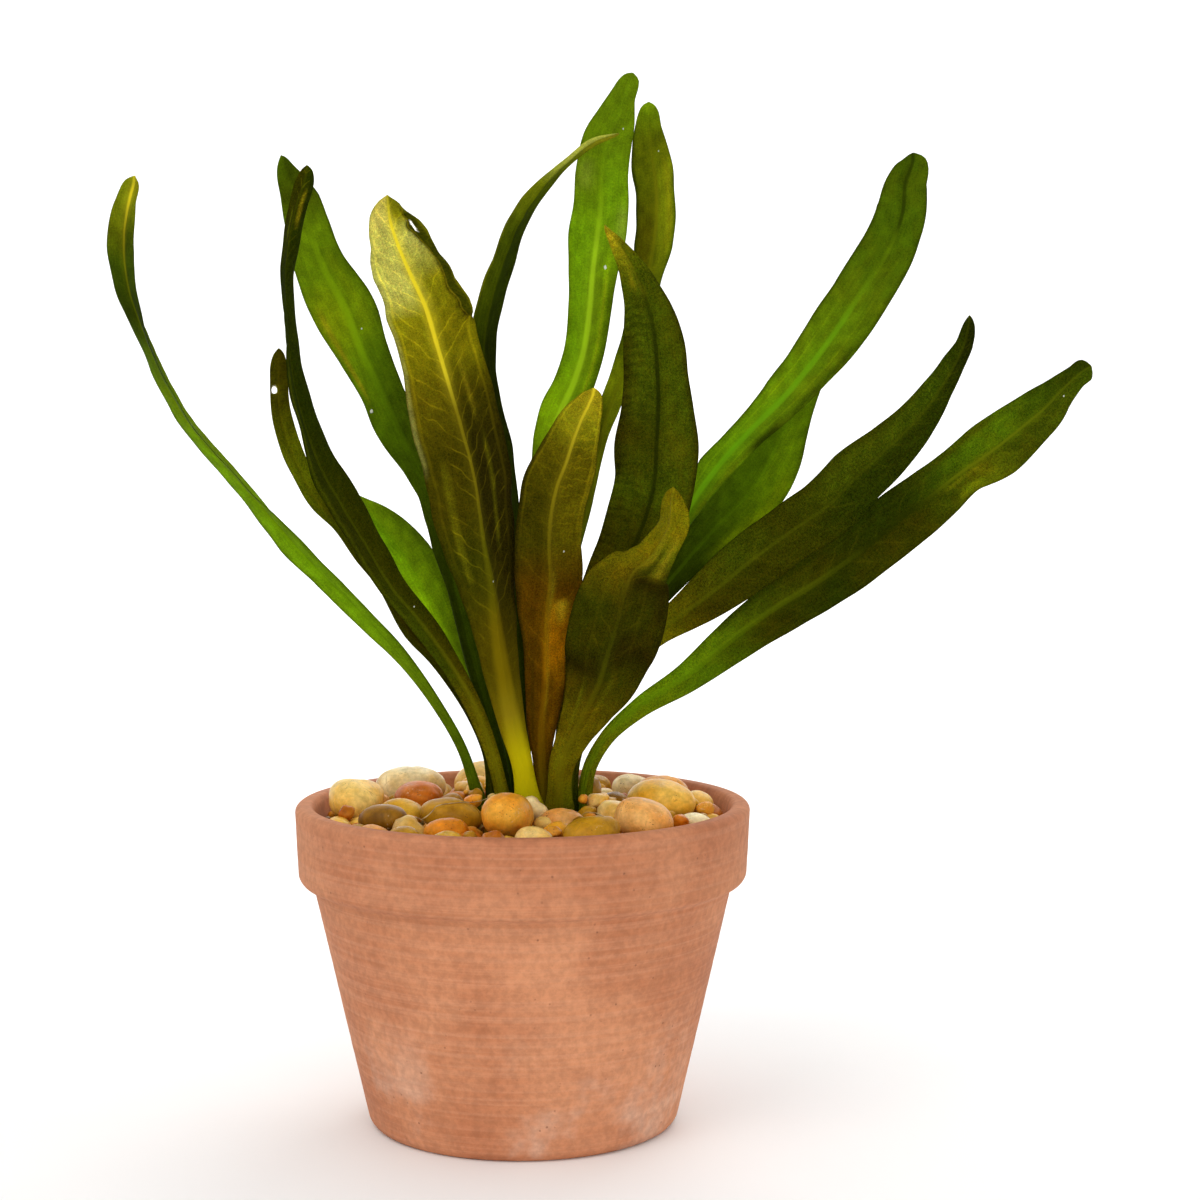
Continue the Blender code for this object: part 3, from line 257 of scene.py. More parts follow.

# How each leaf is coloured, by height in the tables' millimetres.
# tones: height, then the colour left and right of the midrib, looking from base to tip, or one
# colour for both. The darker tones of the lower blades are partly the leaves' own colour and
# partly painted shade.
# rib: height, how strongly the midrib shows, its half width in millimetres and its tone.
# strokes: centre and half width across (-1 left margin, 1 right), lowest and highest point, tone
# and strength. veins: height, place across of the side nerve, its strength, and the strength of
# the ladder veins between it and the midrib; left_ladder: their share on the left.
# slant: strength of the slanting veins, or height and strength; gap: their distance in
# millimetres. net, grain, halo and the key for the wrinkles: strength of the finest net, of the
# speckle, of the glow beside the midrib and of the painted shade in the wrinkles. rust: share of
# browned patches; gloss: shine;
# gain: lightness of the whole leaf.
COLOURS = {
    1: dict(tones=(
        (166, "moss", "khaki"), (158, "moss"), (150, "olive", "fern"), (142, "deep"), (128, "dark"),
        (116, "mid", "deep"), (108, "green", "mid"), (90, "lime", "green"), (60, "lime"),
        (44, "lime"), (25, "green"), (8, "mid"), (-6, "olive")
    ), rib=(
        (166, 0.3, 0.4, "yellow"), (160, 0.85, 0.5, "yellow"), (150, 0.7, 0.4, "straw"),
        (130, 0.4, 0.4, "moss"), (110, 0.6, 0.9, "sage"), (85, 0.5, 1.2, "sage"),
        (60, 0.4, 0.8, "lime"), (20, 0.2, 0.8, "green")
    ), strokes=(
        (0.95, 0.25, 10, 112, "mid", 0.7), (-0.97, 0.15, 10, 150, "deep", 0.7)
    )),
    2: dict(veins=((0, 0.5, 0.12, 0.04),), gain=0.95, tones=(
        (171, "mid", "deep"), (160, "fern"), (150, "green"), (139, "green", "mid"),
        (128, "sage", "green"), (116, "green", "mid"), (98, "mid", "deep"), (80, "deep"),
        (55, "dark", "deep"), (-6, "dark")
    ), rib=(
        (165, 0.1, 0.6, "green"), (140, 0.4, 1.0, "bright"), (122, 0.55, 1.3, "bright"),
        (108, 0.3, 1.1, "lime"), (80, 0.1, 0.8, "mid")
    ), strokes=(
        (-0.72, 0.08, 104, 135, "straw", 0.7), (-0.97, 0.08, 80, 168, "mid", 0.5),
        (0.97, 0.1, 60, 168, "deep", 0.5), (0.45, 0.3, 118, 148, "sage", 0.5),
        (-0.4, 0.3, 116, 140, "sage", 0.5)
    )),
    3: dict(gap=5.2, net=0.16, grain=0.22, halo=0.3, rust=0.06, tones=(
        (161, "khaki", "olive"), (154, "gold", "khaki"), (148, "gold"), (136, "gold", "khaki"),
        (128, "khaki", "tan"), (117, "tan"), (106, "brown", "umber"), (92, "umber", "bark"),
        (75, "umber", "bark"), (62, "loam", "bark"), (42, "umber", "bark"), (28, "umber"),
        # the stalk's tone, here and in the rib below, is lightened with painted light
        (12, "clay", "brown"), (-6, "stem")
    ), rib=(
        (159, 0.3, 0.3, "yellow"), (152, 0.8, 0.4, "yellow"), (138, 0.85, 0.5, "yellow"),
        (125, 0.9, 0.6, "yellow"), (112, 0.8, 0.55, "yellow"), (102, 0.6, 0.5, "straw"),
        (80, 0.42, 0.5, "straw"), (65, 0.35, 0.7, "khaki"), (54, 0.45, 1.3, "tan"),
        (44, 0.65, 1.9, "clay"), (30, 0.9, 2.3, "clay"), (20, 0.95, 2.5, "straw"),
        (9, 1.0, 2.8, "stem"), (-6, 1.0, 3.0, "stem")
    ), strokes=(
        # the first stroke is a painted highlight along the left margin
        (-0.95, 0.05, 85, 144, "gold", 0.5), (-0.6, 0.35, 150, 163, "cream", 0.4),
        (-0.55, 0.06, 52, 92, "khaki", 0.55), (0.42, 0.045, 96, 118, "straw", 0.4),
        (0.5, 0.04, 60, 96, "khaki", 0.35)
    ), veins=(
        (60, 0.8, 0.15, 0.05), (100, 0.82, 0.45, 0.15), (140, 0.82, 0.6, 0.1), (150, 0.8, 0.2, 0.05)
    ), slant=(
        (30, 0.35), (60, 0.75), (100, 0.9), (125, 0.7), (150, 0.45)
    )),
    4: dict(gloss=0.002, slant=((140, 0.1), (152, 0.9), (166, 0.9)), gap=3.2, grain=0.36, rust=0.1,
        tones=(
        (168, "loam", "dark"), (155, "loam", "dark"), (140, "dark"), (100, "dark"), (62, "loam"),
        (45, "fern", "loam"), (33, "fern", "umber"), (23, "brown"), (8, "tan"), (-6, "brown")
    ), rib=(
        (160, 0.2, 0.5, "moss"), (120, 0.1, 0.5, "moss"), (60, 0.3, 0.6, "moss"),
        (20, 0.5, 0.9, "khaki")
    ), strokes=(
        (-0.8, 0.1, 40, 120, "olive", 0.5), (0.35, 0.14, 150, 163, "straw", 0.7),
        (-0.5, 0.1, 147, 158, "moss", 0.6)
    )),
    5: dict(grain=0.32, gloss=0.004, tones=(
        (119, "drab", "umber"), (105, "drab"), (85, "moss"), (72, "olive", "umber"),
        (60, "drab", "umber"), (30, "loam", "bark"), (-6, "dark")
    ), rib=(
        (110, 0.1, 0.5, "straw"), (60, 0.1, 0.5, "straw")
    )),
    6: dict(rib=((70, 0.1, 0.5, "lime"), (30, 0.1, 0.7, "lime")), tones=(
        (80, "lime", "green"), (66, "lime", "green"), (48, "bright", "green"),
        (30, "green", "deep"), (-6, "deep", "dark")
    ), strokes=(
        (-0.75, 0.14, 20, 72, "bright", 0.6), (0.9, 0.25, 30, 76, "deep", 0.5)
    )),
    7: dict(strokes=((-0.9, 0.12, 125, 168, "khaki", 0.4),), gloss=0.004, tones=(
        (177, "sand", "khaki"), (170, "sand", "olive"), (163, "moss", "fern"),
        (150, "fern", "dark"), (133, "fern", "dark"), (120, "dark", "ink"), (106, "dark", "ink"),
        (80, "fern", "dark"), (-6, "dark")
    ), rib=(
        (170, 0.1, 0.4, "moss"), (100, 0.1, 0.6, "moss")
    )),
    8: dict(gain=0.94, tones=(
        (194, "green"), (176, "green"), (162, "green", "lime"), (150, "lime"),
        (136, "lime", "green"), (116, "lime", "green"), (100, "bright", "lime"),
        (91, "green", "mid"), (78, "mid", "deep"), (55, "deep"), (-6, "dark")
    ), rib=(
        (185, 0.05, 0.6, "lime"), (160, 0.35, 0.8, "bright"), (145, 0.7, 0.8, "pale"),
        (120, 0.8, 0.9, "pale"), (95, 0.8, 1.0, "pale"), (70, 0.2, 1.0, "lime")
    ), strokes=(
        (-0.97, 0.14, 84, 150, "green", 0.6), (0.58, 0.13, 86, 150, "bright", 0.8),
        (0.6, 0.05, 92, 142, "straw", 0.35), (0.95, 0.15, 84, 140, "mid", 0.7),
        (0.8, 0.2, 144, 159, "sand", 0.3), (-0.6, 0.3, 160, 170, "sand", 0.2)
    )),
    9: dict(left_ladder=0.4, slant=0.25, net=0.08, grain=0.3, gain=0.95, tones=(
        (109, "straw"), (99, "khaki"), (91, "brown"), (78, "umber", "brown"),
        (66, "umber", "brown"), (54, "rust"), (36, "rust", "amber"), (27, "rust"), (12, "rust"),
        (-6, "brown")
    ), rib=(
        (107, 0.8, 0.35, "yellow"), (85, 0.75, 0.5, "straw"), (70, 0.35, 0.6, "straw"),
        (55, 0.3, 0.5, "clay"), (30, 0.35, 0.9, "amber"), (0, 0.4, 1.2, "clay")
    ), strokes=(
        # the first stroke is a painted highlight on the right half; the last one a painted
        # highlight along the right margin
        (0.5, 0.25, 43, 52, "yellow", 0.45), (-0.6, 0.1, 8, 40, "bark", 0.5),
        (0.1, 0.09, 16, 62, "straw", 0.5), (0.6, 0.25, 8, 42, "amber", 0.3),
        (0.25, 0.3, 30, 52, "amber", 0.7), (-0.95, 0.08, 30, 100, "bark", 0.6),
        (0.97, 0.06, 60, 108, "straw", 0.4)
    ), veins=(
        (50, 0.8, 0.0, 0.0), (66, 0.85, 0.1, 0.1), (80, 0.86, 0.5, 0.7), (104, 0.86, 0.5, 0.5)
    )),
    10: dict(gain=1.15, tones=(
        (185, "green"), (174, "olive"), (163, "olive", "moss"), (150, "drab", "moss"),
        (136, "drab", "olive"), (122, "fern", "olive"), (110, "moss"), (95, "loam", "olive"),
        (60, "deep"), (-6, "dark")
    ), rib=(
        (180, 0.1, 0.4, "moss"), (162, 0.5, 0.7, "khaki"), (120, 0.5, 0.6, "moss"),
        (90, 0.3, 0.7, "khaki")
    ), strokes=(
        (-0.95, 0.12, 120, 182, "dark", 0.8), (0.68, 0.16, 142, 172, "khaki", 0.5),
        (0.6, 0.12, 112, 138, "straw", 0.7), (0.97, 0.1, 112, 168, "deep", 0.7),
        (0.2, 0.2, 112, 150, "drab", 0.4)
    )),
    11: dict(veins=((60, 0.6, 0.05, 0.0), (130, 0.6, 0.05, 0.0)), slant=0.12, rust=0.25,
        wrinkle_shade=0.3, grain=0.36, gain=1.12, gloss=0.008, tones=(
        (152, "straw"), (146, "khaki", "olive"), (138, "fern"), (127, "fern"), (108, "fern"),
        (95, "loam", "fern"), (80, "fern"), (66, "loam"), (45, "brown", "umber"), (-6, "loam")
    ), rib=(
        (150, 0.3, 0.3, "straw"), (139, 0.1, 0.3, "straw"), (132, 0.4, 0.6, "ink"),
        (110, 0.8, 0.6, "ink"), (70, 0.7, 0.6, "ink"), (45, 0.3, 0.6, "bark")
    ), strokes=(
        (-0.3, 0.16, 134, 147, "khaki", 0.6), (-0.95, 0.2, 80, 128, "bark", 0.6),
        (0.97, 0.12, 60, 140, "bark", 0.6), (0.5, 0.25, 84, 100, "drab", 0.4)
    )),
    12: dict(veins=((0, 0.45, 0.12, 0.04),), slant=0.25, grain=0.34, rust=0.25, tones=(
        (82, "tan"), (70, "tan"), (64, "tan", "olive"), (57, "brown", "bark"), (48, "loam"),
        (38, "loam", "bark"), (30, "bark", "loam"), (19, "brown"), (8, "tan"), (-6, "tan", "moss")
    ), rib=(
        (75, 0.2, 0.4, "straw"), (62, 0.3, 0.5, "straw"), (50, 0.2, 0.5, "brown"),
        (40, 0.15, 0.6, "moss"), (20, 0.4, 0.9, "tan"), (0, 0.5, 1.2, "khaki")
    ), strokes=(
        (0.3, 0.06, 0, 34, "khaki", 0.4), (-0.4, 0.06, 0, 30, "moss", 0.4),
        # painted highlight along the ridge of the folded end, and painted shadow under the fold
        (0.62, 0.16, 56, 72, "straw", 0.6), (0.85, 0.16, 44, 57, "bark", 0.9),
        (0.3, 0.06, 57, 66, "bark", 0.5), (0.12, 0.06, 58, 70, "straw", 0.4)
    )),
    13: dict(halo=0.2, gain=0.88, rust=0.2, tones=(
        (172, "deep", "mid"), (160, "mid"), (145, "mid"), (124, "green"), (105, "lime", "green"),
        (90, "lime"), (75, "green", "mid"), (52, "olive", "dark"), (-6, "deep", "dark")
    ), rib=(
        (172, 0.75, 0.6, "dark"), (152, 0.6, 0.6, "dark"), (142, 0.1, 0.8, "bright"),
        (125, 0.5, 0.9, "leek"), (105, 0.8, 0.9, "leek"), (80, 0.85, 0.9, "leek"),
        (50, 0.4, 0.9, "lime")
    ), strokes=(
        # the first stroke is painted shade along a fold of the right margin; the ink one below is a
        # painted shadow where the edge lies over leaf 14
        (0.85, 0.14, 100, 128, "deep", 0.8), (0.75, 0.2, 70, 100, "moss", 0.45),
        (0.9, 0.28, 92, 104, "ink", 0.85), (-0.97, 0.1, 80, 172, "deep", 0.6),
        (0.97, 0.1, 120, 172, "deep", 0.6)
    ), veins=(
        (60, 0.5, 0.2, 0.02), (110, 0.52, 0.4, 0.03), (130, 0.5, 0.2, 0.04), (150, 0.5, 0.05, 0.08)
    )),
    14: dict(rib=((110, 0.1, 0.5, "lime"), (70, 0.2, 0.6, "lime")), tones=(
        (115, "mid"), (95, "mid", "green"), (82, "mid", "green"), (68, "deep"), (56, "dark"),
        (-6, "ink")
    ), strokes=(
        (0.75, 0.2, 62, 92, "sage", 0.65), (0.97, 0.12, 88, 116, "deep", 0.6)
    )),
    15: dict(veins=((0, 0.6, 0.08, 0.05),), slant=0.2, rust=0.12, grain=0.42, gain=0.98,
        gloss=0.006, tones=(
        (128, "ink"), (118, "dark", "ink"), (106, "deep", "dark"), (94, "fern", "dark"),
        (80, "fern", "dark"), (70, "loam"), (60, "fern", "loam"), (50, "drab", "umber"),
        (42, "tan"), (25, "olive", "umber"), (-6, "loam", "dark")
    ), rib=(
        (125, 0.1, 0.4, "moss"), (105, 0.25, 0.4, "olive"), (80, 0.22, 0.45, "olive"),
        (60, 0.3, 0.6, "moss"), (30, 0.3, 0.8, "moss")
    ), strokes=(
        (-0.9, 0.2, 60, 110, "loam", 0.6), (0.4, 0.2, 70, 100, "dark", 0.5)
    )),
    16: dict(veins=((0, 0.62, 0.1, 0.05),), slant=0.2, rust=0.25, grain=0.36, gain=1.05,
        gloss=0.008, tones=(
        (115, "dark", "deep"), (103, "deep", "fern"), (95, "mid", "fern"), (89, "mid", "olive"),
        (82, "deep", "fern"), (75, "dark", "loam"), (64, "dark", "loam"), (57, "loam", "dark"),
        (47, "fern", "loam"), (35, "green", "mid"), (24, "lime", "green"), (12, "moss"),
        (-6, "olive")
    ), rib=(
        (112, 0.2, 0.35, "moss"), (96, 0.75, 0.4, "moss"), (84, 0.8, 0.45, "moss"),
        (76, 0.3, 0.6, "dark"), (66, 0.5, 0.7, "dark"), (55, 0.4, 0.9, "moss"),
        (30, 0.5, 0.9, "lime"), (8, 0.4, 0.9, "lime")
    ), strokes=(
        (-0.85, 0.14, 76, 100, "umber", 0.5), (0.72, 0.12, 82, 89, "sage", 0.7),
        (0.2, 0.06, 80, 90, "khaki", 0.4), (-0.9, 0.2, 36, 62, "dark", 0.6)
    )),
}


class Graph:
    """A short way to write a material's nodes."""

    def __init__(self, name):
        self.material = bpy.data.materials.new(name)
        self.material.use_nodes = True
        self.tree = self.material.node_tree
        self.shader = self.tree.nodes["Principled BSDF"]
        self.output = self.tree.nodes["Material Output"]

    def plug(self, socket, value):
        if isinstance(value, bpy.types.NodeSocket):
            self.tree.links.new(value, socket)
        elif isinstance(value, tuple) and len(value) == 3 and socket.type == "RGBA":
            socket.default_value = (*value, 1.0)
        else:
            socket.default_value = value

    def add(self, kind, settings=None, **inputs):
        node = self.tree.nodes.new(kind)
        for key, value in (settings or {}).items():
            setattr(node, key, value)
        for key, value in inputs.items():
            self.plug(node.inputs[key.replace("_", " ")], value)
        return node

    def joined(self, kind, settings, values, output=0):
        """One output of a new node whose sockets, given by number, take the values."""
        node = self.add(kind, settings)
        for number, value in values.items():
            self.plug(node.inputs[number], value)
        return node.outputs[output]

    def math(self, operation, first, second=0.0, clamp=False):
        return self.joined("ShaderNodeMath", dict(operation=operation, use_clamp=clamp),
                           {0: first, 1: second})

    def times(self, first, second, clamp=False):
        return self.math("MULTIPLY", first, second, clamp)

    def plus(self, first, second):
        return self.math("ADD", first, second)

    def less(self, first, second):
        return self.math("SUBTRACT", first, second)

    def size(self, value):
        return self.math("ABSOLUTE", value)

    def folded(self, value, top):
        return self.math("PINGPONG", value, top)

    def greatest(self, first, second):
        return self.math("MAXIMUM", first, second)

    def ramp(self, value, low, high, start=0.0, end=1.0):
        return self.joined("ShaderNodeMapRange", dict(interpolation_type="SMOOTHSTEP"),
                           {0: value, 1: low, 2: high, 3: start, 4: end})

    def mix(self, share, first, second, blend="MIX"):
        return self.joined("ShaderNodeMix", dict(data_type="RGBA", blend_type=blend),
                           {0: share, 6: first, 7: second}, output=2)

    def tinted(self, first, second):
        return self.mix(1.0, first, second, "MULTIPLY")

    def shaded(self, tone, shade):
        grey = self.add("ShaderNodeCombineXYZ", X=shade, Y=shade, Z=shade)
        return self.tinted(tone, grey.outputs[0])

    def scaled(self, vector, factor):
        return self.joined("ShaderNodeVectorMath", dict(operation="MULTIPLY"),
                           {0: vector, 1: factor})

    def shifted(self, vector, other):
        return self.joined("ShaderNodeVectorMath", dict(operation="ADD"), {0: vector, 1: other})

    def split(self, vector):
        return self.add("ShaderNodeSeparateXYZ", Vector=vector).outputs

    def attribute(self, name, output="Color"):
        return self.add("ShaderNodeAttribute", dict(attribute_name=name)).outputs[output]

    def here(self):
        return self.add("ShaderNodeTexCoord").outputs["Object"]

    def noise(self, vector, scale, detail=3.0, roughness=0.55):
        """Soft noise; a scale of three numbers stretches it."""
        if isinstance(scale, tuple):
            vector, scale = self.scaled(vector, scale), 1.0
        return self.add("ShaderNodeTexNoise", Vector=vector, Scale=scale, Detail=detail,
                        Roughness=roughness).outputs[0]

    def strayed(self, spot, vector, scale, amount):
        """The spot moved about by a soft noise of three numbers, read at the vector."""
        stray = self.add("ShaderNodeTexNoise", Vector=vector, Scale=scale).outputs["Color"]
        return self.shifted(spot, self.scaled(stray, amount))

    def cells(self, vector, scale, feature="F1"):
        return self.add("ShaderNodeTexVoronoi", dict(feature=feature), Vector=vector,
                        Scale=scale).outputs["Distance"]

    def bump(self, height, strength, distance):
        return self.add("ShaderNodeBump", Height=height, Strength=strength,
                        Distance=distance).outputs[0]

    def finish(self, colour, roughness, normal=None, **fixed):
        """Sets the shader, fixed values on its own sockets, and returns the material."""
        named = {"Base Color": colour, "Roughness": roughness, "Normal": normal, **fixed}
        for name, value in named.items():
            if value is not None:
                self.plug(self.shader.inputs[name.replace("_", " ")], value)
        return self.material


# ---------------------------------------------------------------- meshes and objects
def mesh_from(name, points, faces):
    mesh = bpy.data.meshes.new(name)
    mesh.from_pydata(points, [], faces)
    mesh.shade_smooth()
    return mesh


def put_attribute(mesh, name, rows):
    """Stores one row a point: four numbers as a colour, three as a vector."""
    kind, field = ("FLOAT_COLOR", "color") if rows.shape[-1] == 4 else ("FLOAT_VECTOR", "vector")
    layer = mesh.attributes.new(name, kind, "POINT")
    layer.data.foreach_set(field, np.ascontiguousarray(rows, dtype=np.float32).ravel())


def opaque(colours):
    return np.concatenate((colours, np.ones((*colours.shape[:-1], 1))), axis=-1)


def shown(name, data):
    made = bpy.data.objects.new(name, data)
    bpy.context.scene.collection.objects.link(made)
    return made


def piece(name, mesh, material, replaced=()):
    mesh.materials.clear()
    mesh.materials.append(material)
    made = shown(name, mesh)
    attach(made, "root")
    if replaced:
        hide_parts(*replaced)
    return made


@contextmanager
def edited(mesh, source=None):
    """A bmesh of the mesh, or of another source, that becomes the mesh when the block ends."""
    bm = bmesh.new()
    bm.from_mesh(source or mesh)
    yield bm
    bm.to_mesh(mesh)
    bm.free()


def face_out(mesh):
    with edited(mesh) as bm:
        bmesh.ops.recalc_face_normals(bm, faces=bm.faces)


def modified(mesh, *modifiers):
    """The mesh after the modifiers, each given as its kind and settings."""
    holder = shown("holder", mesh)
    for kind, settings in modifiers:
        modifier = holder.modifiers.new(kind.lower(), kind)
        for key, value in settings.items():
            setattr(modifier, key, value)
    bpy.context.view_layer.update()
    evaluated = holder.evaluated_get(bpy.context.evaluated_depsgraph_get())
    made = bpy.data.meshes.new_from_object(evaluated)
    bpy.data.objects.remove(holder)
    return made


def drilled(mesh, places, half_size, depth, segments, lean=0.0, tilt=0.0):
    """The mesh with an oval hole at every place; the oval leans first, then its axis is tilted."""
    drills = []
    for spot in places:
        drill_mesh = bpy.data.meshes.new("drill")
        with edited(drill_mesh) as bm:
            bmesh.ops.create_cone(bm, cap_ends=True, segments=segments, radius1=1.0, radius2=1.0,
                                  depth=depth)
            bmesh.ops.scale(bm, vec=(*half_size, 1.0), verts=bm.verts)
            bmesh.ops.rotate(bm, matrix=Matrix.Rotation(lean, 3, "Z"), verts=bm.verts)
        drill = shown("drill", drill_mesh)
        drill.location = spot
        drill.rotation_euler = (tilt, 0.0, 0.0)
        drills.append(drill)
    cuts = [("BOOLEAN", dict(operation="DIFFERENCE", object=drill)) for drill in drills]
    made = modified(mesh, *cuts)
    for drill in drills:
        bpy.data.objects.remove(drill)
    return made


def refined(node, levels):
    """A copy of a frame node's mesh with its points joined and its surface subdivided."""
    mesh = bpy.data.meshes.new("stone")
    with edited(mesh, node.data) as bm:
        bmesh.ops.remove_doubles(bm, verts=bm.verts, dist=0.005 * MM)
    return modified(mesh, ("SUBSURF", dict(levels=levels)))


def ball(subdivisions, moved):
    """Points and faces of a sphere of radius one, with every point put through moved."""
    bm = bmesh.new()
    bmesh.ops.create_icosphere(bm, subdivisions=subdivisions, radius=1.0)
    points = [moved(vert.co.copy())[:] for vert in bm.verts]
    faces = [[vert.index for vert in face.verts] for face in bm.faces]
    bm.free()
    return points, faces


def lathe(name, profile, sectors, changed):
    """A mesh turned round the z axis from radii and heights in millimetres.

    changed says where a radius and height end up at an angle. A radius of nought is one point.
    """
    points, rings, faces = [], [], []
    for radius, height in profile:
        angles = [math.tau * step / sectors for step in range(sectors)] if radius > 0 else [0.0]
        rings.append((len(points), len(angles)))
        for angle in angles:
            out, up = (MM * value for value in changed(radius, height, angle))
            points.append((out * math.cos(angle), out * math.sin(angle), up))
    for (first, count), (second, other) in zip(rings, rings[1:]):
        for step in range(sectors):
            after = (step + 1) % sectors
            if count == 1:
                faces.append((first, second + step, second + after))
            elif other == 1:
                faces.append((first + step, second, first + after))
            else:
                faces.append((first + step, second + step, second + after, first + after))
    return mesh_from(name, points, faces)


def search_tree(objects):
    """Search tree over the faces of several meshes that sit in world place."""
    points, faces = [], []
    for item in objects:
        start = len(points)
        points.extend(vert.co.copy() for vert in item.data.vertices)
        faces.extend([start + i for i in face.vertices] for face in item.data.polygons)
    return BVHTree.FromPolygons(points, faces)


def height_under(tree, x, y):
    """Height of the first face met from above, or of the bed."""
    hit = tree.ray_cast(Vector((x, y, OVER_STONES)), Vector((0, 0, -1)))[0]
    return hit.z if hit is not None else BED_TOP


# ---------------------------------------------------------------- numbers along and across
def smooth(value, low, high):
    share = np.clip((value - low) / (high - low), 0.0, 1.0)
    return share * share * (3 - 2 * share)


def bell(value, centre, width):
    return np.exp(-((value - centre) / width) ** 2)


def unit(vectors):
    return vectors / np.linalg.norm(vectors, axis=-1, keepdims=True)


def through(knots, values, at):
    """Smooth curve through the values given at the knots, read at the places in at."""
    slopes = np.gradient(values, knots, axis=0)
    i = np.clip(np.searchsorted(knots, at, side="right") - 1, 0, len(knots) - 2)
    step = (knots[i + 1] - knots[i])[:, None]
    u = (at - knots[i])[:, None] / step
    start = (1 + 2 * u) * (1 - u) ** 2 * values[i] + u * (1 - u) ** 2 * step * slopes[i]
    end = u ** 2 * (3 - 2 * u) * values[i + 1] - u ** 2 * (1 - u) * step * slopes[i + 1]
    return start + end


def read(stops, column, heights):
    """One column of a table by height, or its last one, read at the given heights.

    Names of tones give colours.
    """
    stops = sorted(stops)
    known = [stop[0] for stop in stops]
    values = [stop[min(column, len(stop) - 1)] for stop in stops]
    if not isinstance(values[0], str):
        return np.interp(heights, known, values)
    channels = np.array([TONES[tone] for tone in values]).T
    return np.stack([np.interp(heights, known, channel) for channel in channels], axis=-1)


def place(seen_x, seen_height, depth):
    """World points for places seen at x and height across the plant, depth behind the crown."""
    spread = (depth - EYE[1]) / -EYE[1]
    x = EYE[0] + spread * (seen_x - EYE[0])
    z = EYE[2] + spread * (LEAF_DATUM + seen_height - EYE[2])
    return np.stack((x, depth, z), axis=-1)


# ---------------------------------------------------------------- leaves
LEAF_RINGS = 150
RINGS_CLOSER = 1.15          # the rings lie closer together towards the tip
FOOT = 4.5                   # how far a stalk goes down into the rootstock, in millimetres
NARROWEST = 0.8              # least width of a leaf, in millimetres
WIDENS = 0.12                # share of the length in which the stalk becomes a blade
TIP = 1.6 * MM               # length of the rounded tip
TIP_CALM = 6 * MM            # waves and quilting die out in this last part
SHEATH, SHEATH_WIDER = 4 * MM, 0.5
WAVE_LENGTH, WAVE_SIZE = 26 * MM, 0.55 * MM
EDGE_ON, EDGE_ON_WAVES = (1, 4, 5, 7), 0.35    # leaves seen from their side wave less
QUILT_ACROSS, QUILT_ALONG, QUILT_SIZE = 2.6 * MM, 3.4 * MM, 0.16 * MM
SKIN, MARGIN, THINNEST = 0.16 * MM, 0.02 * MM, 0.04 * MM
STALK, STALK_RIDGE = 1.8 * MM, 0.05 * MM
RIB_LOW, RIB_HIGH, SIDE_RIB = 0.35 * MM, 1.9 * MM, 0.10 * MM
UNDERSIDE = 1.18             # the back is this much lighter
GLOW = 0.42                  # share of the light that passes through a leaf
PLAIN_VEINS = ((0, 0.5, 0.08, 0.04),)
STEPS = np.linspace(-1, 1, 37)
ACROSS = STEPS - 0.09 * np.sin(math.tau * STEPS)

# Leaf 03: its right margin is rolled over, from ROLL_START across; the flap's width by height
ROLLED_LEAF, ROLL_RADIUS, ROLL_START, ROLL_STEPS = 3, 0.7 * MM, 0.76, 16
ROLL_FLAP = ((124.5, 0), (126, 1.4), (128, 2.1), (132, 1.8), (136.5, 1.4), (139, 0.8), (141, 0.35),
             (143, 0.8), (147, 2.3), (150.5, 2.7), (152.3, 1.6), (154.5, 0.6), (157, 0))

# Holes, by leaf: place to the right, up and behind the crown, half size, degrees of lean
HOLES = {5: ((-66.7, 107.8, -14.9), (0.62, 0.95), 0), 3: ((-29.1, 151.7, -52), (0.22, 1.5), 32)}
HOLE_DEPTH = 14 * MM


class LeafLine:
    """A leaf's middle line and directions, at shares of its length."""

    def __init__(self, leaf, shares):
        rows = np.array([tuple(row) + (0,) * (5 - len(row)) for row in leaf["rows"]], dtype=float)
        lead = rows[1, :2] - rows[0, :2]
        foot = rows[0].copy()
        foot[:2] -= lead / np.linalg.norm(lead) * FOOT
        rows = np.vstack((foot, rows))
        steps = np.diff(rows[:, :2], axis=0, prepend=foot[None, :2])
        knots = np.cumsum(np.hypot(*steps.T)) - FOOT
        knots /= knots[-1]
        self.shares = shares = 1 - (1 - shares) * (1 - knots[0])
        seen_x, self.height, width, twist, lean = through(knots, rows, shares).T
        base, tip, bow = leaf["depth"]
        depth = base + (tip - base) * shares + bow * 4 * shares * (1 - shares)
        points = place(seen_x * MM, self.height * MM, depth * MM)

        along = unit(np.gradient(points, axis=0))
        to_eye = unit(EYE - points)
        across = unit(np.cross(along, to_eye))
        lean = np.radians(lean)[:, None]
        across = across * np.cos(lean) + np.cross(to_eye, across) * np.sin(lean)
        toward = np.cross(across, along)
        angle = np.radians(twist)[:, None]
        fold = math.radians(leaf["fold"])
        self.half = np.maximum(width, NARROWEST) * MM / 2
        self.middle = points + across * self.half[:, None] * np.sin(angle) * math.sin(fold)
        self.right = across * np.cos(angle + fold) + toward * np.sin(angle + fold)
        self.left = -across * np.cos(angle - fold) - toward * np.sin(angle - fold)
        self.face = toward * np.cos(angle) - across * np.sin(angle)

        steps = np.linalg.norm(np.diff(points, axis=0), axis=1)
        self.length = np.concatenate(([0.0], np.cumsum(steps)))
        self.length -= np.interp(0.0, shares, self.length)
        edges = leaf.get("edges", ((0, 0, 0),))
        self.left_half, self.right_half = (
            self.half + read(edges, column, self.height) * MM / np.maximum(np.cos(turn), 0.4)[:, 0]
            for column, turn in ((1, angle - fold), (2, angle + fold)))


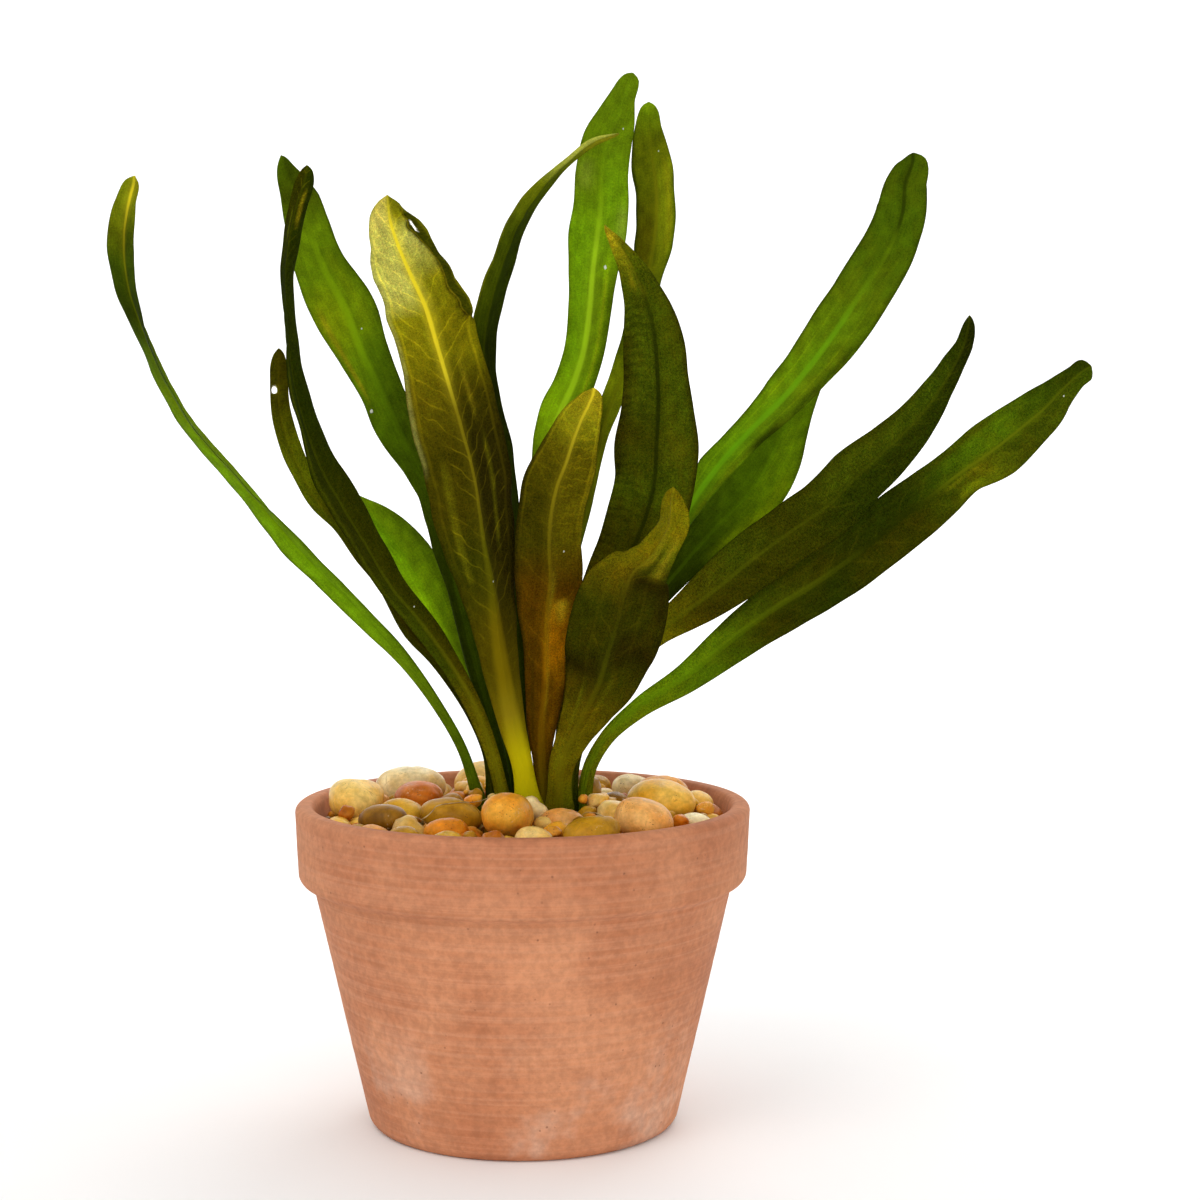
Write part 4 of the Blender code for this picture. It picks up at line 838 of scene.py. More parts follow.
class Blade:
    """One leaf as a thin closed skin.

    Its rings run from foot to tip, each with points across the front (u, from -1 at the left
    margin to 1 at the right) and back again behind.
    """

    def __init__(self, number, leaf, look):
        self.number, self.look = number, look
        shares = 1 - (1 - np.linspace(0.0, 1.0, LEAF_RINGS)) ** RINGS_CLOSER
        self.line = line = LeafLine(leaf, shares)
        self.u = ACROSS
        if number == ROLLED_LEAF:
            strip = np.linspace(ROLL_START, 1.0, ROLL_STEPS)
            self.u = np.concatenate((ACROSS[ACROSS < ROLL_START], strip))
        self.side = np.abs(self.u)[None, :]
        self.share, self.half, self.run = (
            row[:, None] for row in (line.shares, line.half, line.length))
        self.blade = smooth(self.share, leaf["petiole"], leaf["petiole"] + WIDENS)
        self.outward = 1 if leaf["fold"] < 0 else -1       # side that the midrib stands out of
        self.to_tip = self.run[-1] - self.run
        short = np.clip(1 - self.to_tip / TIP, 0, 1)
        self.tip = np.sqrt(np.clip(1 - short ** 2, 0.03, 1.0))
        sheath = 1 + SHEATH_WIDER * np.exp(-np.maximum(self.run, 0.0) / SHEATH)
        reach = self.by_side(line.left_half[:, None], line.right_half[:, None])
        self.reach = reach * self.tip * sheath
        self.across = self.u[None, :] * self.reach
        self.strength, width = (read(look["rib"], column, line.height)[:, None]
                                for column in (1, 2))
        self.rib_width = width * MM
        self.nerve_at, self.nerve_weight, self.ladder_weight = (
            read(look.get("veins", PLAIN_VEINS), column, line.height)[:, None]
            for column in (1, 2, 3))

    def by_side(self, left, right):
        """Left of the midrib the first value, right of it the second."""
        return np.where(self.u > 0 if right.ndim < 3 else self.u[:, None] > 0, right, left)

    def around(self, front, back):
        return np.concatenate((front, back[:, -2:0:-1]), axis=1)

    def both(self, rows):
        """The same values on the front and behind."""
        rows = np.broadcast_to(rows, (LEAF_RINGS, len(self.u), *rows.shape[2:]))
        return self.around(rows, rows)

    def relief(self):
        """How far the surface leaves the plane of the leaf: wavy margins and a quilted blade."""
        line, side = self.line, self.side
        phase = np.random.default_rng(100 + self.number).uniform(0, math.tau, 6)
        turns = math.tau * self.run / WAVE_LENGTH
        left = np.sin(turns + phase[0]) + 0.5 * np.sin(2.3 * turns + phase[1])
        right = np.sin(turns * 1.1 + phase[2]) + 0.5 * np.sin(2.1 * turns + phase[3])
        ease = EDGE_ON_WAVES if self.number in EDGE_ON else 1.0
        wave = self.by_side(left, right) * side ** 2.2 * WAVE_SIZE * ease
        wave = wave * np.minimum(self.half / (6 * MM), 1.0)
        hollow = -0.2 * self.half * side * (1 - side) * self.outward
        quilt = np.array([[noise.noise(Vector((u * half / QUILT_ACROSS, run / QUILT_ALONG,
                                               self.number * 7.7))) for u in self.u]
                          for half, run in zip(line.half, line.length)])
        quilt = quilt * QUILT_SIZE * (1 - side ** 4)
        return (wave + hollow + quilt) * self.blade * smooth(self.to_tip, 0.0, TIP_CALM)

    def skins(self):
        """Front and back points, with the raised midrib and nerves and the round stalk."""
        line, side, blade = self.line, self.side, self.blade
        direction = self.by_side(line.left[:, None, :], line.right[:, None, :])
        normal = line.face[:, None, :]
        surface = line.middle[:, None, :] + direction * (side * self.reach)[..., None]
        surface = surface + normal * self.relief()[..., None]

        closing = np.sqrt(np.clip(1 - side ** 8, 0.0, 1.0))
        proud = np.clip(1.1 * self.rib_width, RIB_LOW, RIB_HIGH) * (1 - 0.5 * self.share)
        bulge = proud * bell(self.across, 0.0, 1.25 * self.rib_width) * blade * closing
        nerve = SIDE_RIB * bell(side, self.nerve_at, 0.045) * blade * closing
        skin = (SKIN * blade + MARGIN) * closing
        stalk = np.minimum(0.62 * self.half, STALK) * np.sqrt(np.clip(1 - side ** 2, 0.0, 1.0))
        ridges = STALK_RIDGE * np.sin(self.u[None, :] * 14) * (1 - blade) * closing
        thick = (skin + stalk * (1 - blade)) * np.clip(self.tip, 0.05, 1) + ridges
        ribbed = thick + bulge + nerve
        grooved = np.maximum(thick - 0.2 * bulge, THINNEST * closing)
        before, behind = (ribbed, grooved) if self.outward > 0 else (grooved, ribbed)
        front = surface + normal * before[..., None]
        back = surface - normal * behind[..., None]
        return self.rolled(front, back) if self.number == ROLLED_LEAF else (front, back)

    def roll_share(self):
        """How far the right margin is rolled over, along the line."""
        height = self.line.height
        return (smooth(height, 123, 126.5) * (1 - smooth(height, 154, 157.5)))[:, None]

    def flap(self):
        """How far the rolled margin reaches back over the blade."""
        height = self.line.height
        uneven = 1 + 0.12 * np.sin(height / 1.3) + 0.08 * np.sin(height / 0.7 + 1.0)
        return (read(ROLL_FLAP, 1, height) * MM * uneven)[:, None]

    def rolled(self, front, back):
        """The skins with the right margin rolled over towards the front, below the tip."""
        u, amount = self.u[None, :], self.roll_share()
        strip = np.clip((u - ROLL_START) / (1 - ROLL_START), 0.0, 1.0)
        half_turn = math.pi * ROLL_RADIUS
        run = strip * (half_turn + self.flap())
        angle = np.minimum(run / ROLL_RADIUS, math.pi)
        over = np.maximum(run - half_turn, 0.0)
        out = ROLL_RADIUS * np.sin(angle) - over
        rise = ROLL_RADIUS * (1 - np.cos(angle)) - 0.35 * over
        start = self.reach - ROLL_RADIUS
        inner = (start - ROLL_START * self.reach) * u / ROLL_START
        shift = np.where(strip > 0, start + out - self.across, inner)
        shift = np.where(u > 0, shift, 0.0) * amount
        lift, turn = (np.where(strip > 0, value, 0.0) * amount for value in (rise, angle))
        normal, right = self.line.face[:, None, :], self.line.right[:, None, :]
        centre = (front + back) / 2 + right * shift[..., None] + normal * lift[..., None]
        leaning = normal * np.cos(turn)[..., None] - right * np.sin(turn)[..., None]
        thick = leaning * (np.linalg.norm(front - back, axis=-1) / 2)[..., None]
        return centre + thick, centre - thick

    def colours(self):
        """Colour of every front point, from the leaf's tones and strokes."""
        look, height, u = self.look, self.line.height, self.u[None, :]
        left, right = (read(look["tones"], column, height)[:, None, :] for column in (1, 2))
        to_right = smooth(u, -0.25, 0.25)[..., None]
        paint = left * (1 - to_right) + right * to_right
        layers = []
        for centre, half, low, high, tone, strength in look.get("strokes", ()):
            soft = min(8.0, (high - low) / 3)
            run = smooth(height, low, low + soft) * (1 - smooth(height, high - soft, high))
            layers.append((bell(u, centre, half) * run[:, None] * strength, tone))
        if self.number == ROLLED_LEAF:
            layers.extend(self.roll_layers())
        for amount, tone in layers:
            amount = amount[..., None]
            paint = paint * (1 - amount) + np.array(TONES[tone]) * amount
        # the colour grows darker towards the margins
        margin_darkening = 1 - 0.25 * smooth(self.side, 0.9, 1.0)[..., None]
        return paint * margin_darkening * look.get("gain", 1.0)

    def roll_layers(self):
        """Painted shadow under the rolled margin, its back, a painted highlight on its bend, its
        hem.
        """
        u, amount = self.u[None, :], self.roll_share()
        start = self.line.right_half[:, None] - ROLL_RADIUS
        shadow = ROLL_START * (start - self.flap() - 0.25 * MM) / start
        # painted shadow along the inside of the rolled margin, dark over the blade hidden under it
        under = smooth(u, shadow - 0.035, shadow + 0.02) * (u < 0.79)
        return ((under * 0.85 * amount, "bark"), (smooth(u, 0.79, 0.83) * amount, "loam"),
                # painted highlight along the bend of the roll
                (bell(u, 0.835, 0.02) * 0.45 * amount, "khaki"),
                (smooth(u, 0.965, 0.985) * 0.55 * amount, "straw"))

    def mesh(self):
        """The blade, with what its material reads stored on its points."""
        loop = self.around(*self.skins())
        ids = np.arange(loop.shape[0] * loop.shape[1]).reshape(loop.shape[:2])
        lower, upper = ids[:-1], ids[1:]
        quads = np.stack((lower, np.roll(lower, -1, 1), np.roll(upper, -1, 1), upper), axis=-1)
        faces = quads.reshape(-1, 4).tolist() + [ids[0][::-1].tolist(), ids[-1].tolist()]
        mesh = mesh_from(f"blade_{self.number:02d}", loop.reshape(-1, 3).tolist(), faces)
        face_out(mesh)

        line, look = self.line, self.look
        colours = self.colours()
        put_attribute(mesh, "paint", opaque(self.around(colours, colours * UNDERSIDE)))
        slant = look.get("slant", 0.1)
        slant = read(slant if isinstance(slant, tuple) else ((0, slant),), 1, line.height)
        ribs = np.column_stack((read(look["rib"], 3, line.height), slant))
        put_attribute(mesh, "rib_paint", self.both(ribs[:, None, :]))
        ladder = self.ladder_weight * np.where(self.u > 0, 1.0, look.get("left_ladder", 1.0))
        vectors = dict(spot=(self.across / MM, self.run / MM, self.u[None, :]),
                       form=(self.strength, self.across / self.rib_width, self.blade),
                       lines=(self.nerve_at, self.nerve_weight, ladder))
        for name, columns in vectors.items():
            put_attribute(mesh, name, np.stack([self.both(column) for column in columns], axis=-1))
        return mesh


def leaf_lines(g, look, spot, flat, slant_weight):
    """Masks for the midrib, its glow and all veins, and the painted shade between the veins and in
    the wrinkles.

    The places in spot are across and along in millimetres, then u.
    """
    across, along, u = g.split(spot)
    strength, rib_place, blade = g.split(g.attribute("form", "Vector"))
    nerve_at, nerve_weight, ladder_weight = g.split(g.attribute("lines", "Vector"))
    side = g.size(u)
    drift = g.less(g.noise(flat, (0.25, 0.08, 0.0), 2.0), 0.5)
    wander = g.less(g.noise(flat, (0.5, 0.5, 0.0), 2.0), 0.5)
    stray = g.less(g.noise(flat, (0.2, 0.2, 0.0), 3.0, 0.4), 0.5)
    fade = g.ramp(g.noise(flat, (0.12, 0.09, 0.0), 2.0), 0.36, 0.60)

    rib_at = g.size(g.plus(rib_place, g.times(drift, 0.5)))
    rib = g.times(g.ramp(rib_at, 1.3, 0.45), strength, clamp=True)
    halo = g.times(g.ramp(rib_at, 5.0, 0.6), g.times(strength, look.get("halo", 0.22)))

    nerve_line = g.plus(nerve_at, g.times(drift, 0.09))
    nerve = g.times(g.ramp(g.size(g.less(side, nerve_line)), 0.055, 0.012), nerve_weight)

    slant_run = g.less(g.plus(along, g.times(stray, 5.0)), g.times(g.size(across), 1.15))
    slant_place = g.folded(g.times(slant_run, 1 / look.get("gap", 8.0)), 0.5)
    slant = g.times(g.ramp(slant_place, 0.085, 0.01), g.ramp(g.less(side, nerve_at), 0.05, -0.05))
    slant = g.times(slant, g.times(fade, slant_weight))

    sag = g.times(g.folded(g.math("DIVIDE", side, nerve_at), 1.0), -1.3)
    ladder_run = g.plus(g.plus(along, g.times(wander, 3.2)), sag)
    ladder_place = g.folded(g.times(ladder_run, 1 / 2.7), 0.5)
    ladder = g.times(g.ramp(ladder_place, 0.13, 0.02), g.ramp(side, 0.92, 0.80))
    ladder = g.times(g.times(ladder, g.ramp(rib_at, 1.0, 2.0)), g.times(fade, ladder_weight))
    # painted shade in wrinkles: dark bars along the ladder, stronger on the left half
    wrinkle_shade = g.times(g.ramp(ladder_place, 0.40, 0.0), g.times(fade, look.get("wrinkle_shade", 0.0)))
    wrinkle_shade = g.less(1.0, g.times(wrinkle_shade, g.ramp(u, 0.3, -0.8, 0.3, 1.3)))

    net_spot = g.strayed(g.scaled(flat, (1.1, 0.8, 0.0)), flat, 0.6, (0.5, 0.5, 0.0))
    net = g.ramp(g.cells(net_spot, 1.0, "DISTANCE_TO_EDGE"), 0.10, 0.02)
    net = g.times(net, look.get("net", 0.08))
    veins = g.greatest(g.greatest(nerve, slant), g.greatest(ladder, net))
    # painted shade between the slanting veins and in the wrinkles
    shade = g.times(g.ramp(slant_place, 0.0, 0.5, 1.06, 0.95), wrinkle_shade)
    return rib, halo, g.times(veins, blade, clamp=True), shade


def leaf_material(number, look):
    """Mottled, veined and slightly see-through leaf tissue; its textures are in millimetres."""
    g = Graph(f"leaf_tissue_{number:02d}")
    spot = g.attribute("spot", "Vector")
    flat = g.shifted(g.scaled(spot, (1.0, 1.0, 0.0)), (number * 31.7, number * 17.3, 0.0))
    # the last of these is the painted shade between the veins and in the wrinkles
    rib, halo, veins, lines = leaf_lines(g, look, spot, flat, g.attribute("rib_paint", "Alpha"))

    weight = look.get("grain", 0.18)
    blotch = g.noise(flat, (0.32, 0.2, 0.0), 4.0, 0.6)
    streak = g.noise(flat, (2.2, 0.12, 0.0))
    grain = g.noise(flat, 1.7, 3.0, 0.75)
    fleck = g.noise(flat, 4.2, 1.0)
    shade = g.plus(g.ramp(blotch, 0.3, 0.7, 0.84, 1.14), g.ramp(grain, 0.32, 0.68, -weight, weight))
    shade = g.plus(shade, g.ramp(fleck, 0.3, 0.7, -weight, weight))
    shade = g.times(g.times(shade, g.ramp(streak, 0.3, 0.7, 0.90, 1.08)), lines)
    tone = g.shaded(g.attribute("paint"), shade)
    cell = g.ramp(g.noise(flat, 1.3, 3.0, 0.75), 0.36, 0.64)
    hue = g.mix(cell, (0.86, 1.06, 1.0), (1.14, 0.96, 1.0))
    tone = g.mix(weight * 1.6, tone, g.tinted(tone, hue))
    rust = g.ramp(g.noise(flat, (0.16, 0.09, 0.0), 4.0, 0.65), 0.44, 0.62)
    rust = g.times(rust, look.get("rust", 0.0))
    tone = g.mix(rust, tone, g.tinted(tone, (1.45, 0.86, 0.6)))
    tone = g.mix(veins, tone, g.tinted(tone, (2.0, 1.9, 1.5)))
    tone = g.mix(g.times(veins, 0.25), tone, TONES["straw" if "grain" in look else "moss"])
    rib_paint = g.attribute("rib_paint")
    tone = g.mix(rib, g.mix(halo, tone, rib_paint), rib_paint)

    height = g.plus(g.plus(g.times(veins, 0.6), g.times(blotch, 0.5)), g.times(grain, 0.25))
    bump = g.bump(height, 0.35, 0.22 * MM)
    g.finish(tone, g.ramp(blotch, 0.3, 0.7, 0.45, 0.60), bump,
             Specular_IOR_Level=look.get("gloss", 0.014), Specular_Tint=(0.80, 0.90, 0.45))
    glow = g.add("ShaderNodeBsdfTranslucent", Color=g.tinted(tone, (1.9, 1.8, 1.2)), Normal=bump)
    surface = g.joined("ShaderNodeMixShader", None,
                       {0: GLOW, 1: g.shader.outputs[0], 2: glow.outputs[0]})
    g.plug(g.output.inputs["Surface"], surface)
    return g.material


def pierced(mesh, centre, half_size, lean):
    """The mesh with an oval hole punched through it, square to the line of sight."""
    spot = Vector(place(*(np.array(value * MM) for value in centre)))
    half_size = [size * MM for size in half_size]
    cut = drilled(mesh, [spot], half_size, HOLE_DEPTH, 24, math.radians(lean), math.radians(90))
    cut.name = mesh.name
    return cut if len(cut.polygons) > 0.9 * len(mesh.polygons) else mesh


def build_leaves():
    blades = []
    for number, leaf in enumerate(LEAVES, start=1):
        look = COLOURS[number]
        mesh = Blade(number, leaf, look).mesh()
        if number in HOLES:
            mesh = pierced(mesh, *HOLES[number])
        blades.append(piece(f"blade_{number:02d}", mesh, leaf_material(number, look),
                            (f"leaf_{number:02d}",)))
    return blades


# ---------------------------------------------------------------- stones
# Which of STONES each of the 40 pebbles is
PEBBLE_KINDS = (6, 8, 1, 2, 0, 7, 3, 5, 10, 4, 11, 0, 9, 3, 6, 1, 8, 2, 7, 10, 5, 0, 4, 3, 11, 6,
                8, 1, 2, 9, 0, 10, 3, 7, 11, 6, 5, 8, 1, 2)
FILL_EDGE = 55.0 * MM        # the stones reach this far, just short of the pot's wall
MAP_EDGE = 57 * MM           # the height map of the bed reaches this far
CELL = 0.5 * MM              # size of its cells
STANDS_OUT = 0.9 * MM        # what is this much higher than the bed takes up its cell
NARROW_GAP = 0.75 * MM       # gaps under this are left to the grit
FILL_SIZES = (3.4, 4.2, 5.0, 5.8)    # largest radii of stones in the gaps, in millimetres
MOST_FILLERS = 520
# Loose stones: smallest and largest radius, how far out, highest centre; in millimetres
LOOSE_STONES = (((3.6, 4.6, 24, 92),) * 9 + ((2.4, 3.4, 22, 92),) * 16 + ((1.6, 2.3, 19, 92),) * 36
                + ((1.0, 1.5, 17, 91.5),) * 40 + ((1.6, 3.2, 55, 87.5),) * 40)
LOOSE_TRIES = 24
MIDDLE_SIZE = 2.2 * MM       # from this radius on a stone belongs to middle_stones
FINE_SIZE = 1.4 * MM         # up to this radius a stone has fewer faces


def stone_material():
    """Damp river stone: a ground colour with soft patches, specks, pits and a few scuffs."""
    g = Graph("river_stone")
    spot = g.shifted(g.here(), g.attribute("seed", "Vector"))
    bent = g.strayed(spot, spot, 90.0, (0.005, 0.005, 0.005))
    cloud = g.noise(bent, 260.0, 5.0, 0.65)
    fine = g.noise(spot, 1000.0, 4.0, 0.65)
    patches = g.ramp(g.noise(bent, 85.0, 3.0, 0.55), 0.36, 0.66)
    tone = g.mix(patches, g.attribute("tint"), g.attribute("patch"))
    tone = g.shaded(tone, g.ramp(cloud, 0.3, 0.7, 0.78, 1.10))
    tone = g.shaded(tone, g.ramp(fine, 0.3, 0.7, 0.88, 1.08))
    rust = g.ramp(g.noise(spot, 60.0, 3.0, 0.5), 0.58, 0.74, 0.0, 0.5)
    sparse = g.ramp(g.noise(spot, 240.0, 2.0), 0.50, 0.64)
    pits = g.times(g.ramp(g.cells(bent, 1300.0), 0.26, 0.12), g.times(sparse, 0.8))
    cracks = g.ramp(g.cells(bent, 105.0, "DISTANCE_TO_EDGE"), 0.02, 0.0)
    cracks = g.times(cracks, g.ramp(cloud, 0.54, 0.66, 0.0, 0.5))
    scuff = g.times(g.ramp(g.noise(spot, 1500.0, 3.0, 0.7), 0.56, 0.70),
                    g.ramp(g.noise(spot, 130.0, 2.0), 0.58, 0.70, 0.0, 0.45))
    for mask, colour in ((rust, (0.46, 0.15, 0.015)), (pits, (0.07, 0.035, 0.008)),
                         (cracks, (0.14, 0.06, 0.012)), (scuff, (0.80, 0.66, 0.42))):
        tone = g.mix(mask, tone, colour)
    height = g.plus(g.times(cloud, 0.6), g.times(fine, 0.35))
    height = g.less(height, g.plus(g.times(pits, 0.6), cracks))
    return g.finish(tone, g.ramp(cloud, 0.3, 0.7, 0.26, 0.46), g.bump(height, 0.45, 0.3 * MM),
                    Specular_IOR_Level=0.22, Specular_Tint=(1.0, 0.80, 0.50),
                    Subsurface_Weight=0.12, Subsurface_Radius=(1.0, 0.45, 0.12),
                    Subsurface_Scale=1.4 * MM)


def tint_stones(mesh, tints, patches, seeds):
    """Gives every point its stone's ground colour, patch colour and place in the texture."""
    shape = (len(mesh.vertices), 3)
    for name, colours in (("tint", tints), ("patch", patches)):
        put_attribute(mesh, name, opaque(np.broadcast_to(colours, shape)))
    put_attribute(mesh, "seed", np.broadcast_to(seeds, shape))


def roughen(mesh, seed, amount, size):
    """Moves points in and out along their normals: broad dents and a few chips."""
    offset = Vector(seed) * 37.0
    normals = [vert.normal.copy() for vert in mesh.vertices]
    for vert, normal in zip(mesh.vertices, normals):
        at = vert.co / size
        broad = noise.noise(at + offset)
        chip = max(0.0, noise.noise(at * 1.9 + offset * 1.7) - 0.30)
        vert.co = vert.co + normal * amount * (0.6 * broad - 1.3 * chip - 0.25)


def build_pebbles(material):
    stones = []
    for index, kind in enumerate(PEBBLE_KINDS):
        name = f"pebble_{index + 1:02d}"
        mesh = refined(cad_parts[name], 2)
        low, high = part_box(name)
        size = max(high[0] - low[0], high[1] - low[1])
        seed = np.random.default_rng(500 + index).uniform(-1, 1, 3)
        roughen(mesh, seed, 0.045 * size, 0.42 * size)
        mesh.shade_smooth()
        tint_stones(mesh, *STONES[kind], seed)
        stones.append(piece(f"stone_{index + 1:02d}", mesh, material, (name,)))
    return stones


def stone_shape(seed, subdivisions):
    """A rounded pebble of radius one with a few flattened sides, its points and faces."""
    offset = Vector((seed * 5.3, 2.1, 7.7))
    flats = [Vector([noise.noise(offset + Vector(step)) for step in np.eye(3) * k]).normalized()
             for k in (1.3, 2.6, 3.9, 5.2, 6.5)]

    def moved(point):
        swell = 1 + 0.24 * noise.noise(point * 1.2 + offset)
        swell = swell + 0.07 * noise.noise(point * 3.1 + offset)
        return point * (swell - sum(0.55 * max(0.0, point.dot(flat) - 0.74) for flat in flats))

    points, faces = ball(subdivisions, moved)
    return np.array(points), np.array(faces)


class StoneBed:
    """A height map of what fills the pot, on which small stones are laid one after another."""

    def __init__(self, solids, blades):
        self.grid = np.arange(-MAP_EDGE, MAP_EDGE + CELL, CELL)
        self.x, self.y = np.meshgrid(self.grid, self.grid)
        self.from_axis = np.hypot(self.x, self.y)
        self.inside = self.from_axis < FILL_EDGE
        self.level = np.full(self.x.shape, BED_TOP)
        tree = search_tree(solids)
        for i, j in zip(*np.nonzero(self.inside)):
            top = height_under(tree, self.grid[j], self.grid[i])
            self.level[i, j] = max(self.level[i, j], top)
        self.stalks = self.cells_of(blades)
        self.rng = np.random.default_rng(77)
        self.stones = []                           # centre, radius and size as a share of it

    def cells_of(self, blades):
        """The cells that leaf stalks stand in, with their neighbours."""
        cells = np.zeros(self.x.shape, dtype=bool)
        last = len(self.grid) - 2
        for vert in (vert for blade in blades for vert in blade.data.vertices):
            if vert.co.z < LEAF_DATUM:
                i, j = (int((at - self.grid[0]) / CELL + 0.5) for at in (vert.co.y, vert.co.x))
                if 1 < i < last and 1 < j < last:
                    cells[i - 1:i + 2, j - 1:j + 2] = True
        return cells

    def free_gap(self):
        """Distance of every free cell to the nearest taken one or to the edge."""
        taken = self.stalks | (self.level > BED_TOP + STANDS_OUT)
        inner = np.logical_and.reduce([np.roll(taken, step, axis)
                                       for axis in (0, 1) for step in (1, -1)])
        free, edge = self.inside & ~taken, taken & ~inner
        free_points, edge_points = (np.column_stack((self.x[cells], self.y[cells]))
                                    for cells in (free, edge))
        nearest = []
        for start in range(0, len(free_points), 500):
            apart = free_points[start:start + 500, None, :] - edge_points[None, :, :]
            nearest.append(np.sqrt((apart ** 2).sum(axis=2).min(axis=1)))
        gap = np.zeros(self.x.shape)
        gap[free] = np.concatenate(nearest)
        return np.minimum(gap, np.maximum(FILL_EDGE - self.from_axis, 0.0))

    def raise_level(self, x, y, centre, radius):
        """Puts the upper side of a stone into the height map."""
        dome = radius ** 2 - (self.x - x) ** 2 - (self.y - y) ** 2
        dome = np.sqrt(np.maximum(dome, 0.0)) * 0.8
        self.level = np.where(dome > 0, np.maximum(self.level, centre + dome), self.level)

    def fill_gaps(self):
        """Lays stones on the bed between the pebbles, the largest that fit first."""
        rng, gap = self.rng, self.free_gap()
        while len(self.stones) < MOST_FILLERS and gap.max() >= NARROW_GAP:
            radius = min(gap.max(), rng.choice(FILL_SIZES) * rng.uniform(0.85, 1.1) * MM)
            fits = np.argwhere(np.abs(gap - radius) < 0.35 * MM)
            widest = np.unravel_index(gap.argmax(), gap.shape)
            i, j = fits[rng.integers(len(fits))] if len(fits) else widest
            x, y = self.grid[j], self.grid[i]
            radius = radius * 1.06
            sunk = rng.uniform(0.1, 0.45) if radius > 2.4 * MM else rng.uniform(0.3, 0.9)
            centre = BED_TOP + sunk * radius
            self.stones.append(((x, y, centre), radius, 1.0))
            to_stone = np.hypot(self.x - x, self.y - y) - radius * 0.97
            gap = np.minimum(gap, np.maximum(to_stone, 0.0))
            self.raise_level(x, y, centre, radius)

    def add_loose(self):
        """Lays stones on the rootstock round the stalks, larger ones first, then a few more."""
        for low, high, span, top in LOOSE_STONES:
            radius = self.rng.uniform(low, high) * MM
            found = self.best_spot(radius, min(span * MM, FILL_EDGE - 1.5 * radius), top * MM)
            if found:
                centre, x, y = found
                self.stones.append(((x, y, centre - 0.3 * radius), radius, 0.95))
                self.raise_level(x, y, centre, radius)

    def best_spot(self, radius, span, top):
        """Of some random places, the lowest one, or near the crown the one closest to it."""
        best = None
        for _ in range(LOOSE_TRIES):
            bearing = self.rng.uniform(0, math.tau)
            distance = math.sqrt(self.rng.uniform(0, 1)) * span
            x, y = distance * math.cos(bearing), distance * math.sin(bearing)
            away = (self.x - x) ** 2 + (self.y - y) ** 2
            if self.stalks[away < (0.9 * radius) ** 2].any():
                continue
            under = away < radius ** 2
            lowest = self.level[under] + 0.75 * np.sqrt(radius ** 2 - away[under])
            centre = lowest.max()
            rank = centre if span > 30 * MM else distance
            if centre < top and (best is None or rank < best[0]):
                best = (rank, centre, x, y)
        return best[1:] if best else None


def join_stones(name, numbered, shapes, rng, material):
    """One piece of many small stones, each stretched, turned and tinted by chance."""
    points, faces, counts, tints, patches, seeds = [], [], [], [], [], []
    for index, (centre, radius, size) in numbered:
        kinds = shapes[radius > FINE_SIZE]
        shape, sides = kinds[index % len(kinds)]
        stretch = [rng.uniform(*limits) for limits in ((1.0, 1.2), (0.82, 1.0), (0.66, 0.84))]
        lean = Euler([rng.uniform(*limits) for limits in ((-0.3, 0.3), (-0.3, 0.3), (0, math.tau))])
        turn = np.array(lean.to_matrix())
        faces.append(sides + sum(counts))
        counts.append(len(shape))
        points.append((shape * np.array(stretch) * radius * size) @ turn.T + centre)
        tint, patch = STONES[rng.integers(len(STONES))]
        light = rng.uniform(0.75, 1.08)
        tints.append(np.array(tint) * light)
        patches.append(np.array(patch) * light)
        seeds.append(rng.uniform(-1, 1, 3))
    mesh = mesh_from(name, np.concatenate(points).tolist(), np.concatenate(faces).tolist())
    tint_stones(mesh, *(np.repeat(rows, counts, axis=0) for rows in (tints, patches, seeds)))
    return piece(name, mesh, material)


def build_small_stones(stones, material, blades):
    """Fills the gaps between the pebbles and strews a few stones over them."""
    bed = StoneBed(stones + [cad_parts["crown"]], blades)
    bed.fill_gaps()
    bed.add_loose()
    shapes = {True: [stone_shape(index, 3) for index in range(8)],
              False: [stone_shape(index + 20, 2) for index in range(6)]}
    groups = {True: [], False: []}
    for index, stone in enumerate(bed.stones):
        groups[stone[1] >= MIDDLE_SIZE].append((index, stone))
    return [join_stones(name, groups[large], shapes, bed.rng, material)
            for name, large in (("middle_stones", True), ("small_stones", False))]


# ---------------------------------------------------------------- ground and crown
GRIT_RINGS, GRIT_SECTORS = 46, 128


def ground_material(name, dark, light, scale):
    g = Graph(name)
    spot = g.here()
    grain = g.cells(spot, scale)
    cloud = g.noise(spot, scale * 0.25, 4.0, 0.6)
    tone = g.mix(g.ramp(cloud, 0.35, 0.65), dark, light)
    # painted shade: each grain is lighter in its middle and darker towards the gaps between grains
    return g.finish(g.shaded(tone, g.ramp(grain, 0.0, 0.8, 1.25, 0.45)),
                    g.ramp(cloud, 0.3, 0.7, 0.55, 0.8),
                    g.bump(g.less(cloud, grain), 0.8, 0.8 * MM), Specular_IOR_Level=0.08)


def build_ground():
    """Fine grit showing in the gaps between the stones, as a disc with a grainy top."""
    top, edge = BED_TOP / MM, BED_RADIUS / MM
    radii = np.linspace(0.0, edge, GRIT_RINGS + 1)[1:]
    profile = [(0.0, top + 0.2), *((radius, top + 0.35) for radius in radii),
               (edge, top - 2), (0.0, top - 2)]

    def grainy(radius, height, angle):
        if radius == 0 or height < top:
            return radius, height
        x, y = radius * math.cos(angle), radius * math.sin(angle)
        rise = noise.noise(Vector((x, y, 0)) / 1.3) + 0.6 * noise.noise(Vector((x, y, 3000)) / 0.6)
        return radius, height + 0.35 * rise

    material = ground_material("grit", (0.035, 0.016, 0.004), (0.15, 0.075, 0.018), 900.0)
    return piece("grit", lathe("grit", profile, GRIT_SECTORS, grainy), material)


